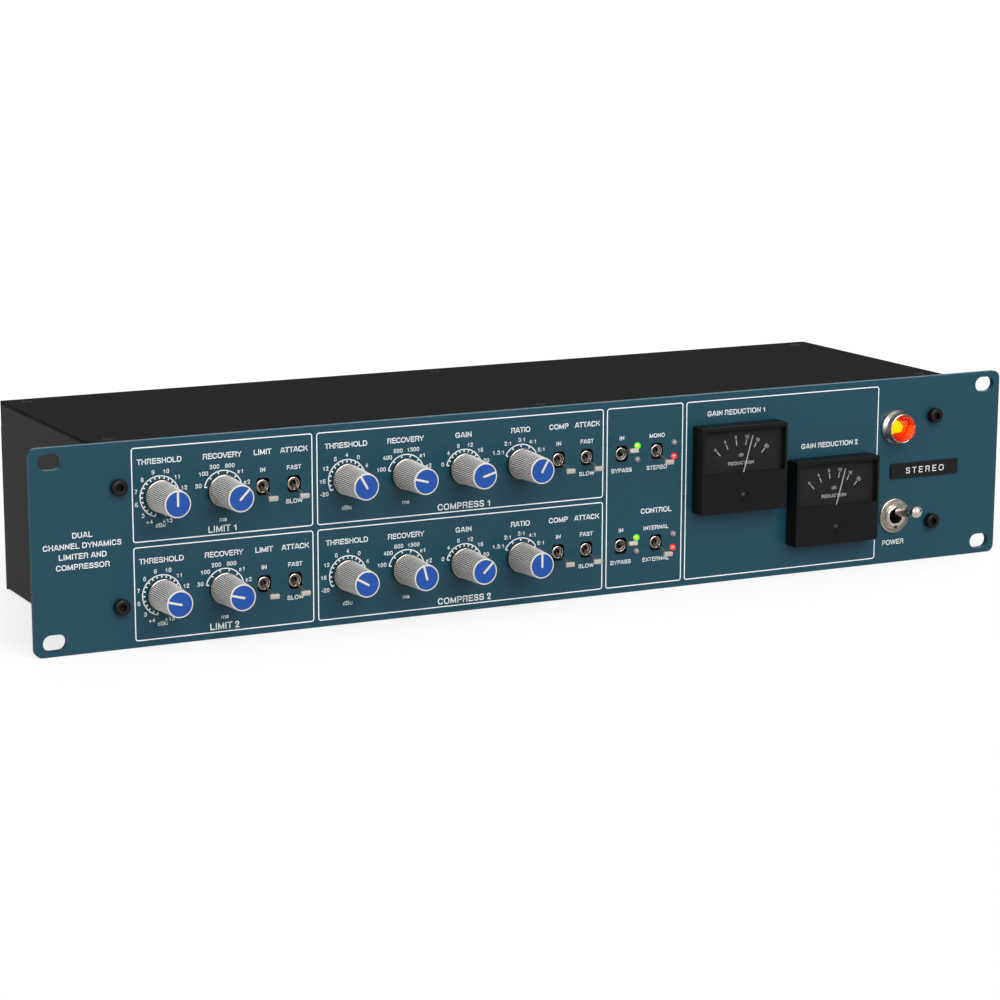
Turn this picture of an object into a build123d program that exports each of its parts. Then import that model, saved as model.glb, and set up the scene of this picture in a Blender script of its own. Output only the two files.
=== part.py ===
"""Two-channel rack compressor and limiter, 19 inch, two units high.

Frame: origin at the centre of the rack-hole pattern on the front panel's rear face,
+X to the operator's right, +Y to the rear of the unit, +Z up. Millimetres.
"""
import os
from math import cos, radians, sin

from build123d import *

# ---- front panel, to the 19 inch rack standard ----
RACK_WIDTH = 482.6
RACK_HEIGHT = 88.1
PANEL_THICK = 3.0
PANEL_CORNER_R = 3.5
PANEL_CHAMFER = 0.35
SLOT_SPACING_X = 465.1
SLOT_SPACING_Z = 76.2
SLOT_LENGTH = 10.5
SLOT_WIDTH = 7.0

# ---- chassis ----
CHASSIS_WIDTH = 425.3
CHASSIS_DEPTH = 127.1
CHASSIS_HEIGHT = 87.0
SHEET = 1.2
COVER_SHEET = 1.0
REAR_SHEET = 1.5
REAR_LIP_DROP = 12.0
REAR_LIP_INSET = 0.5
BEND_R = 1.2
FRONT_FLANGE = 18.0
TOP_FLANGE = 16.0
CROSS_FLANGE = 14.0
COVER_SCREW_X = (-203.0, 0.0, 203.0)
COVER_SCREW_Y = (9.0, 118.0)
COVER_HEAD_R = 2.4
CROSS_WIDTH = 0.6
CROSS_DEPTH = 0.8
CLEARANCE = 0.1
NUT_R = 4.2
NUT_THICK = 3.0
TAB_OVERLAP = 6.0
TAB_GAP = 0.2

# ---- controls: a row for each channel ----
ROW_Z = (20.1, -22.1)

# name, x, pointer angle at rest for channels 1 and 2 (degrees clockwise from the top)
KNOBS = [
    ("limit_threshold", -185.0, (0.0, -75.0)),
    ("limit_recovery", -157.0, (45.0, -75.0)),
    ("comp_threshold", -100.0, (-30.0, -60.0)),
    ("comp_recovery", -72.0, (-75.0, -15.0)),
    ("comp_gain", -44.0, (75.0, 45.0)),
    ("comp_ratio", -16.0, (30.0, 0.0)),
]
STEPPED = ("recovery", "ratio")
KNOB_GAP = 1.0
KNOB_LENGTH = 20.3
KNOB_BASE_R = 6.4
KNOB_FRONT_R = 5.8
KNOB_SKIRT_R = 6.5
KNOB_SKIRT = 1.3
KNOB_CAP_R = 5.25
KNOB_CAP_THICK = 1.2
FLUTES = 50
FLUTE_DEPTH = 0.28
POINTER_WIDTH = 0.95
POINTER_DEPTH = 0.4
POINTER_TAIL = 1.0
SHAFT_R = 3.0
SHAFT_HOLE_R = 3.5
SHAFT_FIT = 0.05
SHAFT_IN_KNOB = 14.0
SHAFT_BEHIND = 7.0
SHAFT_BORE_REAR_Y = 7.5
NECK_R = 4.5
NECK_FRONT_Y = 1.5
POT_R = 8.0
POT_FRONT_Y = 4.5
SELECTOR_R = 10.5
SELECTOR_FRONT_Y = 3.5

# name of each lever, x, z, rest direction (+1 tipped up, -1 tipped down)
TOGGLES = [
    ("limit_in_1", -138.7, ROW_Z[0], -1),
    ("limit_attack_1", -124.4, ROW_Z[0], -1),
    ("comp_in_1", 3.1, ROW_Z[0], -1),
    ("comp_attack_1", 17.3, ROW_Z[0], -1),
    ("bypass_1", 35.1, ROW_Z[0], 1),
    ("stereo_link", 53.3, ROW_Z[0], -1),
    ("limit_in_2", -138.7, ROW_Z[1], -1),
    ("limit_attack_2", -124.4, ROW_Z[1], -1),
    ("comp_in_2", 3.1, ROW_Z[1], -1),
    ("comp_attack_2", 17.3, ROW_Z[1], -1),
    ("bypass_2", 35.1, ROW_Z[1], 1),
    ("control_source", 53.3, ROW_Z[1], -1),
]
TOGGLE_TILT = 12.0
TOGGLE_HOLE = (6.3, 7.6)
TOGGLE_HOLE_R = 1.8
TOGGLE_BUSH_R = 2.75
TOGGLE_BORE_R = 2.25
TOGGLE_BUSH_SUNK = 0.4
TOGGLE_PIVOT_Y = 1.3
TOGGLE_BODY = (7.0, 12.8)
TOGGLE_BODY_FRONT = 1.0
TOGGLE_CAVITY = 5.0
LEVER_R = 0.65
LEVER_BALL_R = 1.7
LEVER_TAIL = 2.0
PIVOT_PIN_R = 0.4
PIVOT_FIT = 0.05
PADDLE = (3.9, 1.8, 1.6)
PADDLE_START = 15.1
PADDLE_WALL = 0.5

# ---- status lamps ----
LED_X = (43.1, 62.2)
LED_OFFSET_Z = 3.15
LED_R = 1.5
LED_HOLE_R = 1.6
LED_RIM_R = 1.9
LED_RIM_Y = 0.4
LED_BASE_Y = 1.6
LED_LEAD_R = 0.3

# ---- control board behind the panel ----
BOARD_FRONT_Y = 12.0
BOARD_THICK = 1.6
CONTROL_BOARD_X = (-198.0, 66.0)
CONTROL_BOARD_Z = (-38.0, 38.0)
STUD_X = (-171.0, -86.0, -30.0, 44.2)
STUD_Z = -1.0
STUD_THREAD = 10.0

# ---- gain reduction meters ----
METER_CENTRES = ((94.6, 9.85), (145.5, -9.75))
METER_WIDTH = 45.2
METER_HEIGHT = 40.3
METER_PROUD = 8.9
METER_WALL = 0.9
METER_FRONT_WALL = 1.3
METER_EDGE_R = 0.9
WINDOW_RIM_SIDE = 1.35
WINDOW_RIM_TOP = 2.0
WINDOW_HEIGHT = 19.8
PANE_THICK = 1.0
PANE_OVERLAP = 2.0
PANE_GAP = 0.2
DIAL_FRONT = 5.1
DIAL_THICK = 0.5
PIVOT_DROP = 5.5
NEEDLE_ANGLE = 15.5
NEEDLE_LENGTH = 20.9
NEEDLE_BACK = 5.7
NEEDLE_THICK = 0.4
NEEDLE_HUB_R = 2.0
MOVEMENT_R = 16.5
MOVEMENT_REAR_Y = 22.0
COIL_R = 6.0
COIL_BORE_R = 7.0
COIL_BORE_DEPTH = 15.0
COIL_LENGTH = 10.0
COIL_GAP = 2.0
STAFF_R = 0.6
STAFF_LENGTH = 16.5
STAFF_BORE_DEPTH = 18.0
ZERO_SCREW_DROP = 12.8
ZERO_SCREW_R = 2.2
ZERO_SCREW_SUNK = 0.3
ZERO_COLLAR = (3.0, 0.6)
ZERO_STUD = (0.9, 0.8)

# ---- pilot lamp, power switch, badge and panel screws ----
LAMP = (182.7, 21.2)
POWER = (182.7, -21.2)
POWER_TILT = 12.5
POWER_PIVOT_Y = 1.2
POWER_BUSH_R = 5.9
POWER_BORE_R = 3.5
POWER_BUSH_PROUD = 2.2
RING_R = 8.2
RING_HEIGHT = 1.4
RING_NOTCHES = 36
BAT_LENGTH = 23.0
BAT_TIP_R = 2.95
BAT_NECK_R = 1.5
BAT_PIN_R = 0.7
BAT_TAIL = 4.5
SWITCH_BODY = (15.0, 22.0, 17.0)
SWITCH_CAVITY = 7.0
BADGE = (199.0, 0.0)
BADGE_SIZE = (38.0, 7.1)
BADGE_THICK = 1.1
PANEL_SCREW_SPACING = (407.0, 50.8)
PANEL_SCREW_HEAD_R = 3.5
PANEL_SCREW_HEAD = 3.6
PANEL_SCREW_R = 2.0
PANEL_SCREW_LENGTH = 12.0

# ---- rear connectors ----
XLR_IN_X = (-180.0, -100.0)
XLR_OUT_X = (-145.0, -65.0)
XLR_FLANGE = (26.0, 31.0)
XLR_FLANGE_THICK = 2.0
XLR_BARREL_R = 11.6
XLR_CUP_R = 9.5
XLR_SCREWS = (19.0, 24.0)
XLR_PIN_CIRCLE_R = 4.1
XLR_PIN_R = 1.18
XLR_BARREL_DEPTH = 21.0
XLR_RING_GAP = 1.6
XLR_RING_DEPTH = 13.0
XLR_SOCKET_DEPTH = 12.0
XLR_SOCKET_R = 1.33
XLR_CUP_DEPTH = 16.0
XLR_PIN_LENGTH = 13.5
XLR_PIN_TURNS = (30.0, 150.0, 270.0)
JACK_X = (-25.0, 5.0)
JACK_BORE_R = 3.2
JACK_BUSH_R = 4.75
JACK_PROUD = 2.5
JACK_BODY = (16.0, 16.0, 23.0)
JACK_DEPTH = 24.0
JACK_NUT_R = 7.0
JACK_NUT_THICK = 2.0
INLET_X = 160.0
INLET_BODY = (27.0, 33.0)
INLET_FLANGE = (50.0, 37.0)
INLET_DEPTH = 26.0
INLET_CAVITY = (24.4, 16.4)
INLET_CAVITY_Z = -6.5
INLET_CAVITY_DEPTH = 17.0
INLET_FLANGE_THICK = 2.5
INLET_SCREW_SPACING = 40.0
INLET_BLADE = (2.0, 4.0, 13.0)
INLET_BLADES = ((-7.0, -7.9), (7.0, -7.9), (0.0, -3.9))
DRAWER_Z = 9.5
DRAWER = (20.0, 7.6, 19.0)
DRAWER_FACE = (22.5, 10.0, 1.5)
DRAWER_FIT = 0.25
FUSE_R = 2.5
FUSE_LENGTH = 18.0
FUSE_FIT = 0.2
FUSE_POCKET_DEPTH = 13.0
DRAWER_GAP = 0.1
DRAWER_NICK = (6.0, 1.6, 0.8)
SMALL_SCREW_R = 1.5
SMALL_HEAD_R = 2.8
SMALL_HEAD = 1.8

# ---- boards and parts inside ----
MAIN_BOARD = (290.0, 92.0)
MAIN_BOARD_CENTRE = (-50.0, 66.0)
STANDOFF_HEIGHT = 6.0
STANDOFF_R = 2.8
STANDOFF_EDGE = 6.0
TRANSFORMER = (22.0, 24.0, 20.0)
TRANSFORMER_SHIFT = 12.0
TRANSFORMER_Y = 78.0
TOROID_CENTRE = (152.0, 68.0)
TOROID_SECTION = (20.0, 30.0)
TOROID_MID_R = 20.0
TOROID_PAD = (29.0, 0.8)
TOROID_CLAMP = (24.0, 1.2)
TOROID_BOLT_R = 3.0
TOROID_NUT = (5.6, 4.0)

FACE_Y = -PANEL_THICK
FACE = Plane.XZ.offset(PANEL_THICK)
BACK_Y = CHASSIS_DEPTH
FLOOR_Z = -CHASSIS_HEIGHT / 2
TOP_Z = CHASSIS_HEIGHT / 2
INNER_FLOOR_Z = FLOOR_Z + SHEET
MAIN_BOARD_Z = INNER_FLOOR_Z + STANDOFF_HEIGHT

os.makedirs("parts", exist_ok=True)


def save(shape, label):
    """Write one node to its own file, named after the node."""
    shape.label = label
    export_step(shape, f"parts/{label}.step")


def gather(solids, label):
    """Write several separate solids as one node."""
    save(Compound(children=list(solids)), label)


def front_facing(x, y, z):
    """Plane at (x, y, z) looking out to the front."""
    return Plane(origin=(x, y, z), x_dir=(1, 0, 0), z_dir=(0, -1, 0))


def rear_facing(x, y, z):
    """Plane at (x, y, z) looking to the rear, with X to the operator's right."""
    return Plane(origin=(x, y, z), x_dir=(1, 0, 0), z_dir=(0, 1, 0))


def cross_plane(x, y, z):
    """Plane at (x, y, z) looking to the operator's right, for pins that run across."""
    return Plane(origin=(x, y, z), x_dir=(0, 1, 0), z_dir=(1, 0, 0))


def face_plane(x, z, proud=0.0):
    """Plane on the panel's front face at (x, z), looking out to the front."""
    return front_facing(x, FACE_Y - proud, z)


def back_plane(x, z, proud=0.0):
    """Plane on the rear panel's outer face at (x, z); an extrusion from it goes inwards."""
    return front_facing(x, BACK_Y + proud, z)


def back_outward(x, z, proud=0.0):
    """Plane beyond the rear panel at (x, z), looking out to the rear."""
    return Plane(origin=(x, BACK_Y + proud, z), x_dir=(-1, 0, 0), z_dir=(0, 1, 0))


def turned(outline, x, z):
    """Solid of revolution about the front-to-back line through (x, z), from (radius, y) points."""
    with BuildPart() as body:
        with BuildSketch(Plane(origin=(x, 0, z))):
            with BuildLine():
                Polyline(*outline, close=True)
            make_face()
        revolve(axis=Axis((x, 0, z), (0, 1, 0)))
    return body.part


def corners(spacing_x, spacing_z):
    """The four corners of a rectangle centred on the origin."""
    return [(sx * spacing_x / 2, sz * spacing_z / 2) for sx in (-1, 1) for sz in (-1, 1)]


# ======================================================================
# Front panel
# ======================================================================
toggle_points = [(x, z) for _, x, z, _ in TOGGLES]
knob_points = [(x, z) for _, x, _ in KNOBS for z in ROW_Z]
led_points = [(x, z + side * LED_OFFSET_Z) for x in LED_X for z in ROW_Z for side in (1, -1)]
screw_points = corners(*PANEL_SCREW_SPACING)
stud_points = [(x, STUD_Z) for x in STUD_X]

with BuildPart() as front_panel:
    with BuildSketch(FACE):
        RectangleRounded(RACK_WIDTH, RACK_HEIGHT, PANEL_CORNER_R)
        with Locations(*corners(SLOT_SPACING_X, SLOT_SPACING_Z)):
            SlotOverall(SLOT_LENGTH, SLOT_WIDTH, mode=Mode.SUBTRACT)
        with Locations(*knob_points):
            Circle(SHAFT_HOLE_R, mode=Mode.SUBTRACT)
        with Locations(*toggle_points):
            RectangleRounded(*TOGGLE_HOLE, TOGGLE_HOLE_R, mode=Mode.SUBTRACT)
        with Locations(*led_points):
            Circle(LED_HOLE_R, mode=Mode.SUBTRACT)
        with Locations(*METER_CENTRES):
            Circle(MOVEMENT_R + CLEARANCE, mode=Mode.SUBTRACT)
        with Locations(LAMP, POWER):
            Circle(POWER_BUSH_R + CLEARANCE, mode=Mode.SUBTRACT)
        with Locations(*screw_points):
            Circle(PANEL_SCREW_R + CLEARANCE, mode=Mode.SUBTRACT)
    extrude(amount=-PANEL_THICK)
    front_edges = front_panel.faces().sort_by(Axis.Y)[0].outer_wire().edges()
    chamfer(front_edges, PANEL_CHAMFER)
    # studs on the back that hold the control board
    with BuildSketch(Plane.XZ):
        with Locations(*stud_points):
            Circle(STANDOFF_R)
    extrude(amount=-BOARD_FRONT_Y)
    with BuildSketch(Plane.XZ.offset(-BOARD_FRONT_Y)):
        with Locations(*stud_points):
            Circle(SMALL_SCREW_R + CLEARANCE)
    extrude(amount=STUD_THREAD, mode=Mode.SUBTRACT)
save(front_panel.part, "front_panel")

with BuildPart() as badge_plate:
    with BuildSketch(face_plane(*BADGE)):
        RectangleRounded(*BADGE_SIZE, 0.4)
    extrude(amount=BADGE_THICK)
    chamfer(badge_plate.faces().sort_by(Axis.Y)[0].edges(), 0.2)
save(badge_plate.part, "badge_plate")


# ======================================================================
# Chassis: folded tray, rear panel, top cover
# ======================================================================
tray_top_z = TOP_Z - COVER_SHEET
tray_height = tray_top_z - FLOOR_Z
tray_mid_z = (tray_top_z + FLOOR_Z) / 2
tray_rear_y = CHASSIS_DEPTH - REAR_SHEET
inner_width = CHASSIS_WIDTH - 2 * SHEET
inner_top_z = tray_top_z - SHEET
cover_screw_points = [(x, y) for x in COVER_SCREW_X for y in COVER_SCREW_Y]
standoff_points = [
    (MAIN_BOARD_CENTRE[0] + dx, MAIN_BOARD_CENTRE[1] + dy)
    for dx, dy in corners(MAIN_BOARD[0] - 2 * STANDOFF_EDGE, MAIN_BOARD[1] - 2 * STANDOFF_EDGE)
]

with BuildPart() as chassis_tray:
    # floor, side walls and the flanges that carry the cover
    with BuildSketch(Plane.XZ):
        with Locations((0, tray_mid_z)):
            RectangleRounded(CHASSIS_WIDTH, tray_height, BEND_R)
            Rectangle(inner_width, tray_height - 2 * SHEET, mode=Mode.SUBTRACT)
        with Locations((0, inner_top_z)):
            Rectangle(CHASSIS_WIDTH - 2 * TOP_FLANGE, 2 * SHEET + 1.0, mode=Mode.SUBTRACT)
    extrude(amount=-tray_rear_y)
    # cross flange behind the panel's top edge
    with BuildSketch(Plane.XY.offset(inner_top_z)):
        with Locations((0, CROSS_FLANGE / 2)):
            Rectangle(CHASSIS_WIDTH - 2 * TOP_FLANGE, CROSS_FLANGE)
    extrude(amount=SHEET)
    # front flanges with pressed-in nuts for the panel screws
    with BuildSketch(Plane.XZ):
        for side in (-1, 1):
            with Locations((side * (inner_width - FRONT_FLANGE) / 2, tray_mid_z)):
                Rectangle(FRONT_FLANGE, tray_height - 2 * SHEET)
    extrude(amount=-SHEET)
    with BuildSketch(Plane.XZ.offset(-SHEET)):
        with Locations(*screw_points):
            RegularPolygon(NUT_R, 6)
    extrude(amount=-NUT_THICK)
    with BuildSketch(Plane.XZ):
        with Locations(*screw_points):
            Circle(PANEL_SCREW_R + CLEARANCE)
    extrude(amount=-2 * SHEET - NUT_THICK, mode=Mode.SUBTRACT)
    # holes for the cover screws and the board standoffs
    with BuildSketch(Plane.XY.offset(inner_top_z)):
        with Locations(*[p for p in cover_screw_points if p[0] or p[1] == COVER_SCREW_Y[0]]):
            Circle(SMALL_SCREW_R + CLEARANCE)
    extrude(amount=SHEET, mode=Mode.SUBTRACT)
    # pressed-in standoffs for the main board
    with BuildSketch(Plane.XY.offset(INNER_FLOOR_Z)):
        with Locations(*standoff_points):
            Circle(STANDOFF_R)
    extrude(amount=STANDOFF_HEIGHT)
    with BuildSketch(Plane.XY.offset(FLOOR_Z)):
        with Locations(*standoff_points):
            Circle(SMALL_SCREW_R + CLEARANCE)
    extrude(amount=SHEET + STANDOFF_HEIGHT, mode=Mode.SUBTRACT)
save(chassis_tray.part, "chassis_tray")

xlr_points = [(x, 0.0) for x in XLR_IN_X + XLR_OUT_X]
xlr_screw_points = [
    (x + side * XLR_SCREWS[0] / 2, side * XLR_SCREWS[1] / 2) for x, _ in xlr_points for side in (-1, 1)
]
inlet_screw_points = [(INLET_X + side * INLET_SCREW_SPACING / 2, 0.0) for side in (-1, 1)]
jack_points = [(x, 0.0) for x in JACK_X]
rear_top_z = TOP_Z - REAR_LIP_DROP

with BuildPart() as rear_panel:
    with BuildSketch(back_plane(0, 0)):
        with Locations((0, (rear_top_z + FLOOR_Z) / 2)):
            Rectangle(CHASSIS_WIDTH, rear_top_z - FLOOR_Z)
        with Locations(*xlr_points):
            Circle(XLR_BARREL_R + CLEARANCE, mode=Mode.SUBTRACT)
        with Locations(*jack_points):
            Circle(JACK_BUSH_R + CLEARANCE, mode=Mode.SUBTRACT)
        with Locations((INLET_X, 0)):
            Rectangle(INLET_BODY[0] + 2 * CLEARANCE, INLET_BODY[1] + 2 * CLEARANCE, mode=Mode.SUBTRACT)
        with Locations(*xlr_screw_points, *inlet_screw_points):
            Circle(SMALL_SCREW_R + CLEARANCE, mode=Mode.SUBTRACT)
    extrude(amount=REAR_SHEET)
    # stepped tab and fold behind the cover's lip
    tab_top_z = inner_top_z - TAB_GAP
    with BuildSketch(Plane.XZ.offset(-tray_rear_y)):
        with Locations((0, (rear_top_z - TAB_OVERLAP + tab_top_z) / 2)):
            Rectangle(inner_width - 1.0, tab_top_z - rear_top_z + TAB_OVERLAP)
    extrude(amount=SHEET)
    fold_width = CHASSIS_WIDTH - 2 * TOP_FLANGE - 1.0
    with BuildSketch(Plane.XY.offset(inner_top_z)):
        with Locations((0, tray_rear_y - CROSS_FLANGE / 2)):
            Rectangle(fold_width, CROSS_FLANGE)
    extrude(amount=SHEET)
    with BuildSketch(Plane.XZ.offset(-tray_rear_y)):
        with Locations((0, (tab_top_z + inner_top_z) / 2)):
            Rectangle(fold_width, inner_top_z - tab_top_z)
    extrude(amount=SHEET)
    with BuildSketch(Plane.XY.offset(inner_top_z)):
        with Locations((COVER_SCREW_X[1], COVER_SCREW_Y[1])):
            Circle(SMALL_SCREW_R + CLEARANCE)
    extrude(amount=SHEET, mode=Mode.SUBTRACT)
save(rear_panel.part, "rear_panel")

cover_depth = CHASSIS_DEPTH - REAR_LIP_INSET
with BuildPart() as top_cover:
    with BuildSketch(Plane.XY.offset(tray_top_z)):
        with Locations((0, cover_depth / 2)):
            Rectangle(CHASSIS_WIDTH, cover_depth)
    extrude(amount=COVER_SHEET)
    with BuildSketch(Plane.XZ.offset(-tray_rear_y)):
        with Locations((0, (tray_top_z + rear_top_z + TAB_GAP) / 2)):
            Rectangle(CHASSIS_WIDTH, tray_top_z - rear_top_z - TAB_GAP)
    extrude(amount=tray_rear_y - cover_depth)
    rear_bend = top_cover.edges().filter_by(Axis.X).sort_by(lambda e: e.center().Y + e.center().Z)[-1]
    fillet(rear_bend, 0.8)
    with Locations(*[(x, y, TOP_Z) for x, y in cover_screw_points]):
        CounterSinkHole(SMALL_SCREW_R + CLEARANCE, COVER_HEAD_R + CLEARANCE, depth=COVER_SHEET)
save(top_cover.part, "top_cover")


def countersunk_screw(plane, length):
    """Flat-head screw with a cross recess, its head flush with the plane."""
    with BuildPart() as screw:
        with BuildSketch(plane):
            Circle(COVER_HEAD_R)
        with BuildSketch(plane.offset(SMALL_SCREW_R - COVER_HEAD_R)):
            Circle(SMALL_SCREW_R)
        loft()
        with BuildSketch(plane):
            Circle(SMALL_SCREW_R)
        extrude(amount=-length)
        with BuildSketch(plane):
            Rectangle(2 * SMALL_SCREW_R, CROSS_WIDTH)
            Rectangle(CROSS_WIDTH, 2 * SMALL_SCREW_R)
        extrude(amount=-CROSS_DEPTH, mode=Mode.SUBTRACT)
    return screw.part


def pan_screw(plane, length):
    """Round-head screw with a cross recess, its head standing on the plane."""
    with BuildPart() as screw:
        with BuildSketch(plane):
            Circle(SMALL_HEAD_R)
        extrude(amount=SMALL_HEAD)
        head_edge = screw.edges().filter_by(GeomType.CIRCLE).sort_by(
            lambda e: (e.center() - plane.origin).dot(plane.z_dir)
        )[-1]
        fillet(head_edge, 1.0)
        with BuildSketch(plane):
            Circle(SMALL_SCREW_R)
        extrude(amount=-length)
        with BuildSketch(plane.offset(SMALL_HEAD)):
            Rectangle(2 * SMALL_SCREW_R, CROSS_WIDTH)
            Rectangle(CROSS_WIDTH, 2 * SMALL_SCREW_R)
        extrude(amount=-CROSS_DEPTH, mode=Mode.SUBTRACT)
    return screw.part


cover_screws = [
    countersunk_screw(Plane(origin=(x, y, TOP_Z), z_dir=(0, 0, 1)), 6.0) for x, y in cover_screw_points
]
gather(cover_screws, "cover_screws")

with BuildPart() as panel_screws:
    with BuildSketch(FACE):
        with Locations(*screw_points):
            Circle(PANEL_SCREW_HEAD_R)
    extrude(amount=PANEL_SCREW_HEAD)
    rims = panel_screws.edges().filter_by(GeomType.CIRCLE).group_by(Axis.Y)[0]
    fillet(rims, 0.4)
    with BuildSketch(FACE):
        with Locations(*screw_points):
            Circle(PANEL_SCREW_R)
    extrude(amount=-PANEL_SCREW_LENGTH)
    with BuildSketch(FACE.offset(PANEL_SCREW_HEAD)):
        with Locations(*screw_points):
            RegularPolygon(1.73, 6)
    extrude(amount=-2.0, mode=Mode.SUBTRACT)
save(panel_screws.part, "panel_screws")


# ======================================================================
# Knobs and the controls behind them
# ======================================================================
def knob(x, z, angle):
    """Fluted knob with its metal skirt, coloured cap, pointer line and shaft."""
    base = face_plane(x, z, KNOB_GAP)
    grip_start = base.offset(KNOB_SKIRT)
    front = base.offset(KNOB_LENGTH)

    def fluted(radius):
        points = []
        for i in range(2 * FLUTES):
            r = radius - FLUTE_DEPTH * (i % 2)
            turn = radians(180.0 * i / FLUTES)
            points.append((r * sin(turn), r * cos(turn)))
        return points

    with BuildPart() as grip:
        with BuildSketch(grip_start):
            Polygon(*fluted(KNOB_BASE_R), align=None)
        with BuildSketch(front):
            Polygon(*fluted(KNOB_FRONT_R), align=None)
        loft(ruled=True)
        with BuildSketch(front):
            Circle(KNOB_CAP_R)
        extrude(amount=-KNOB_CAP_THICK, mode=Mode.SUBTRACT)
        with BuildSketch(grip_start):
            Circle(SHAFT_R)
        extrude(amount=SHAFT_IN_KNOB, mode=Mode.SUBTRACT)

    with BuildPart() as skirt:
        with BuildSketch(base):
            Circle(KNOB_SKIRT_R)
            Circle(SHAFT_R, mode=Mode.SUBTRACT)
        extrude(amount=KNOB_SKIRT)

    mark = Plane(front.origin, x_dir=(cos(radians(angle)), 0, -sin(radians(angle))), z_dir=front.z_dir)
    bar_length = KNOB_CAP_R + POINTER_TAIL
    with BuildPart() as cap:
        with BuildSketch(front):
            Circle(KNOB_CAP_R)
        extrude(amount=-KNOB_CAP_THICK)
        with BuildSketch(mark):
            with Locations((0, bar_length / 2 - POINTER_TAIL)):
                Rectangle(POINTER_WIDTH, bar_length)
        extrude(amount=-POINTER_DEPTH, mode=Mode.SUBTRACT)
    with BuildPart() as pointer:
        with BuildSketch(mark):
            with Locations((0, bar_length / 2 - POINTER_TAIL)):
                Rectangle(POINTER_WIDTH, bar_length)
        extrude(amount=-POINTER_DEPTH)
        with BuildSketch(front):
            Circle(KNOB_CAP_R)
        extrude(amount=-POINTER_DEPTH, mode=Mode.INTERSECT)

    with BuildPart() as shaft:
        with BuildSketch(grip_start.offset(SHAFT_IN_KNOB)):
            Circle(SHAFT_R)
        extrude(amount=-(SHAFT_IN_KNOB + KNOB_SKIRT + KNOB_GAP + PANEL_THICK + SHAFT_BEHIND))
    return grip.part, skirt.part, cap.part, pointer.part, shaft.part


for knob_name, knob_x, angles in KNOBS:
    for channel, knob_z in enumerate(ROW_Z):
        gather(knob(knob_x, knob_z, angles[channel]), f"knob_{knob_name}_{channel + 1}")

shaft_bore_r = SHAFT_R + SHAFT_FIT


def control_body(x, z, radius, front_y):
    """Housing with a stepped neck and a blind bore that the knob's shaft turns in."""
    outline = [
        (shaft_bore_r, NECK_FRONT_Y),
        (NECK_R, NECK_FRONT_Y),
        (NECK_R, front_y),
        (radius, front_y),
        (radius, BOARD_FRONT_Y),
        (0, BOARD_FRONT_Y),
        (0, SHAFT_BORE_REAR_Y),
        (shaft_bore_r, SHAFT_BORE_REAR_Y),
    ]
    return turned(outline, x, z)


stepped_points = [(x, z) for name, x, _ in KNOBS for z in ROW_Z if name.endswith(STEPPED)]
smooth_points = [p for p in knob_points if p not in stepped_points]
gather([control_body(x, z, POT_R, POT_FRONT_Y) for x, z in smooth_points], "potentiometers")
gather([control_body(x, z, SELECTOR_R, SELECTOR_FRONT_Y) for x, z in stepped_points], "rotary_switches")


# ======================================================================
# Miniature toggle switches
# ======================================================================
def toggle_body(x, z):
    """Switch housing with its bored bushing and the pin that the lever rocks on."""
    bush_front = -PANEL_THICK + TOGGLE_BUSH_SUNK
    outline = [
        (TOGGLE_BORE_R, bush_front),
        (TOGGLE_BUSH_R, bush_front),
        (TOGGLE_BUSH_R, TOGGLE_BODY_FRONT),
        (TOGGLE_BORE_R, TOGGLE_BODY_FRONT),
    ]
    with BuildPart() as housing:
        add(turned(outline, x, z))
        with BuildSketch(front_facing(x, TOGGLE_BODY_FRONT, z)):
            RectangleRounded(*TOGGLE_BODY, 0.5)
        extrude(amount=TOGGLE_BODY_FRONT - BOARD_FRONT_Y)
        with BuildSketch(front_facing(x, TOGGLE_BODY_FRONT, z)):
            Circle(TOGGLE_BORE_R)
        extrude(amount=-TOGGLE_CAVITY, mode=Mode.SUBTRACT)
        with BuildSketch(cross_plane(x, TOGGLE_PIVOT_Y, z)):
            Circle(PIVOT_PIN_R)
        extrude(amount=TOGGLE_BORE_R + 0.2, both=True)
    return housing.part


def toggle_lever(x, z, direction):
    """Rocking lever with its ball and tail, and the flat paddle pressed on its end."""
    tilt = radians(TOGGLE_TILT) * direction
    out = Plane(origin=(x, TOGGLE_PIVOT_Y, z), x_dir=(1, 0, 0), z_dir=(0, -cos(tilt), sin(tilt)))
    with BuildPart() as lever:
        with BuildSketch(out.offset(-LEVER_TAIL)):
            Circle(LEVER_R)
        extrude(amount=LEVER_TAIL + PADDLE_START + PADDLE[2] - PADDLE_WALL)
        with Locations(out):
            Sphere(LEVER_BALL_R)
        with BuildSketch(cross_plane(x, TOGGLE_PIVOT_Y, z)):
            Circle(PIVOT_PIN_R + PIVOT_FIT)
        extrude(amount=LEVER_BALL_R + 1.0, both=True, mode=Mode.SUBTRACT)
    with BuildPart() as paddle:
        with BuildSketch(out.offset(PADDLE_START)):
            RectangleRounded(PADDLE[0], PADDLE[1], 0.4)
        extrude(amount=PADDLE[2])
        with BuildSketch(out.offset(PADDLE_START)):
            Circle(LEVER_R)
        extrude(amount=PADDLE[2] - PADDLE_WALL, mode=Mode.SUBTRACT)
    return lever.part, paddle.part


gather([toggle_body(x, z) for _, x, z, _ in TOGGLES], "toggle_switches")
for lever_name, lever_x, lever_z, lever_rest in TOGGLES:
    gather(toggle_lever(lever_x, lever_z, lever_rest), f"lever_{lever_name}")


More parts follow.
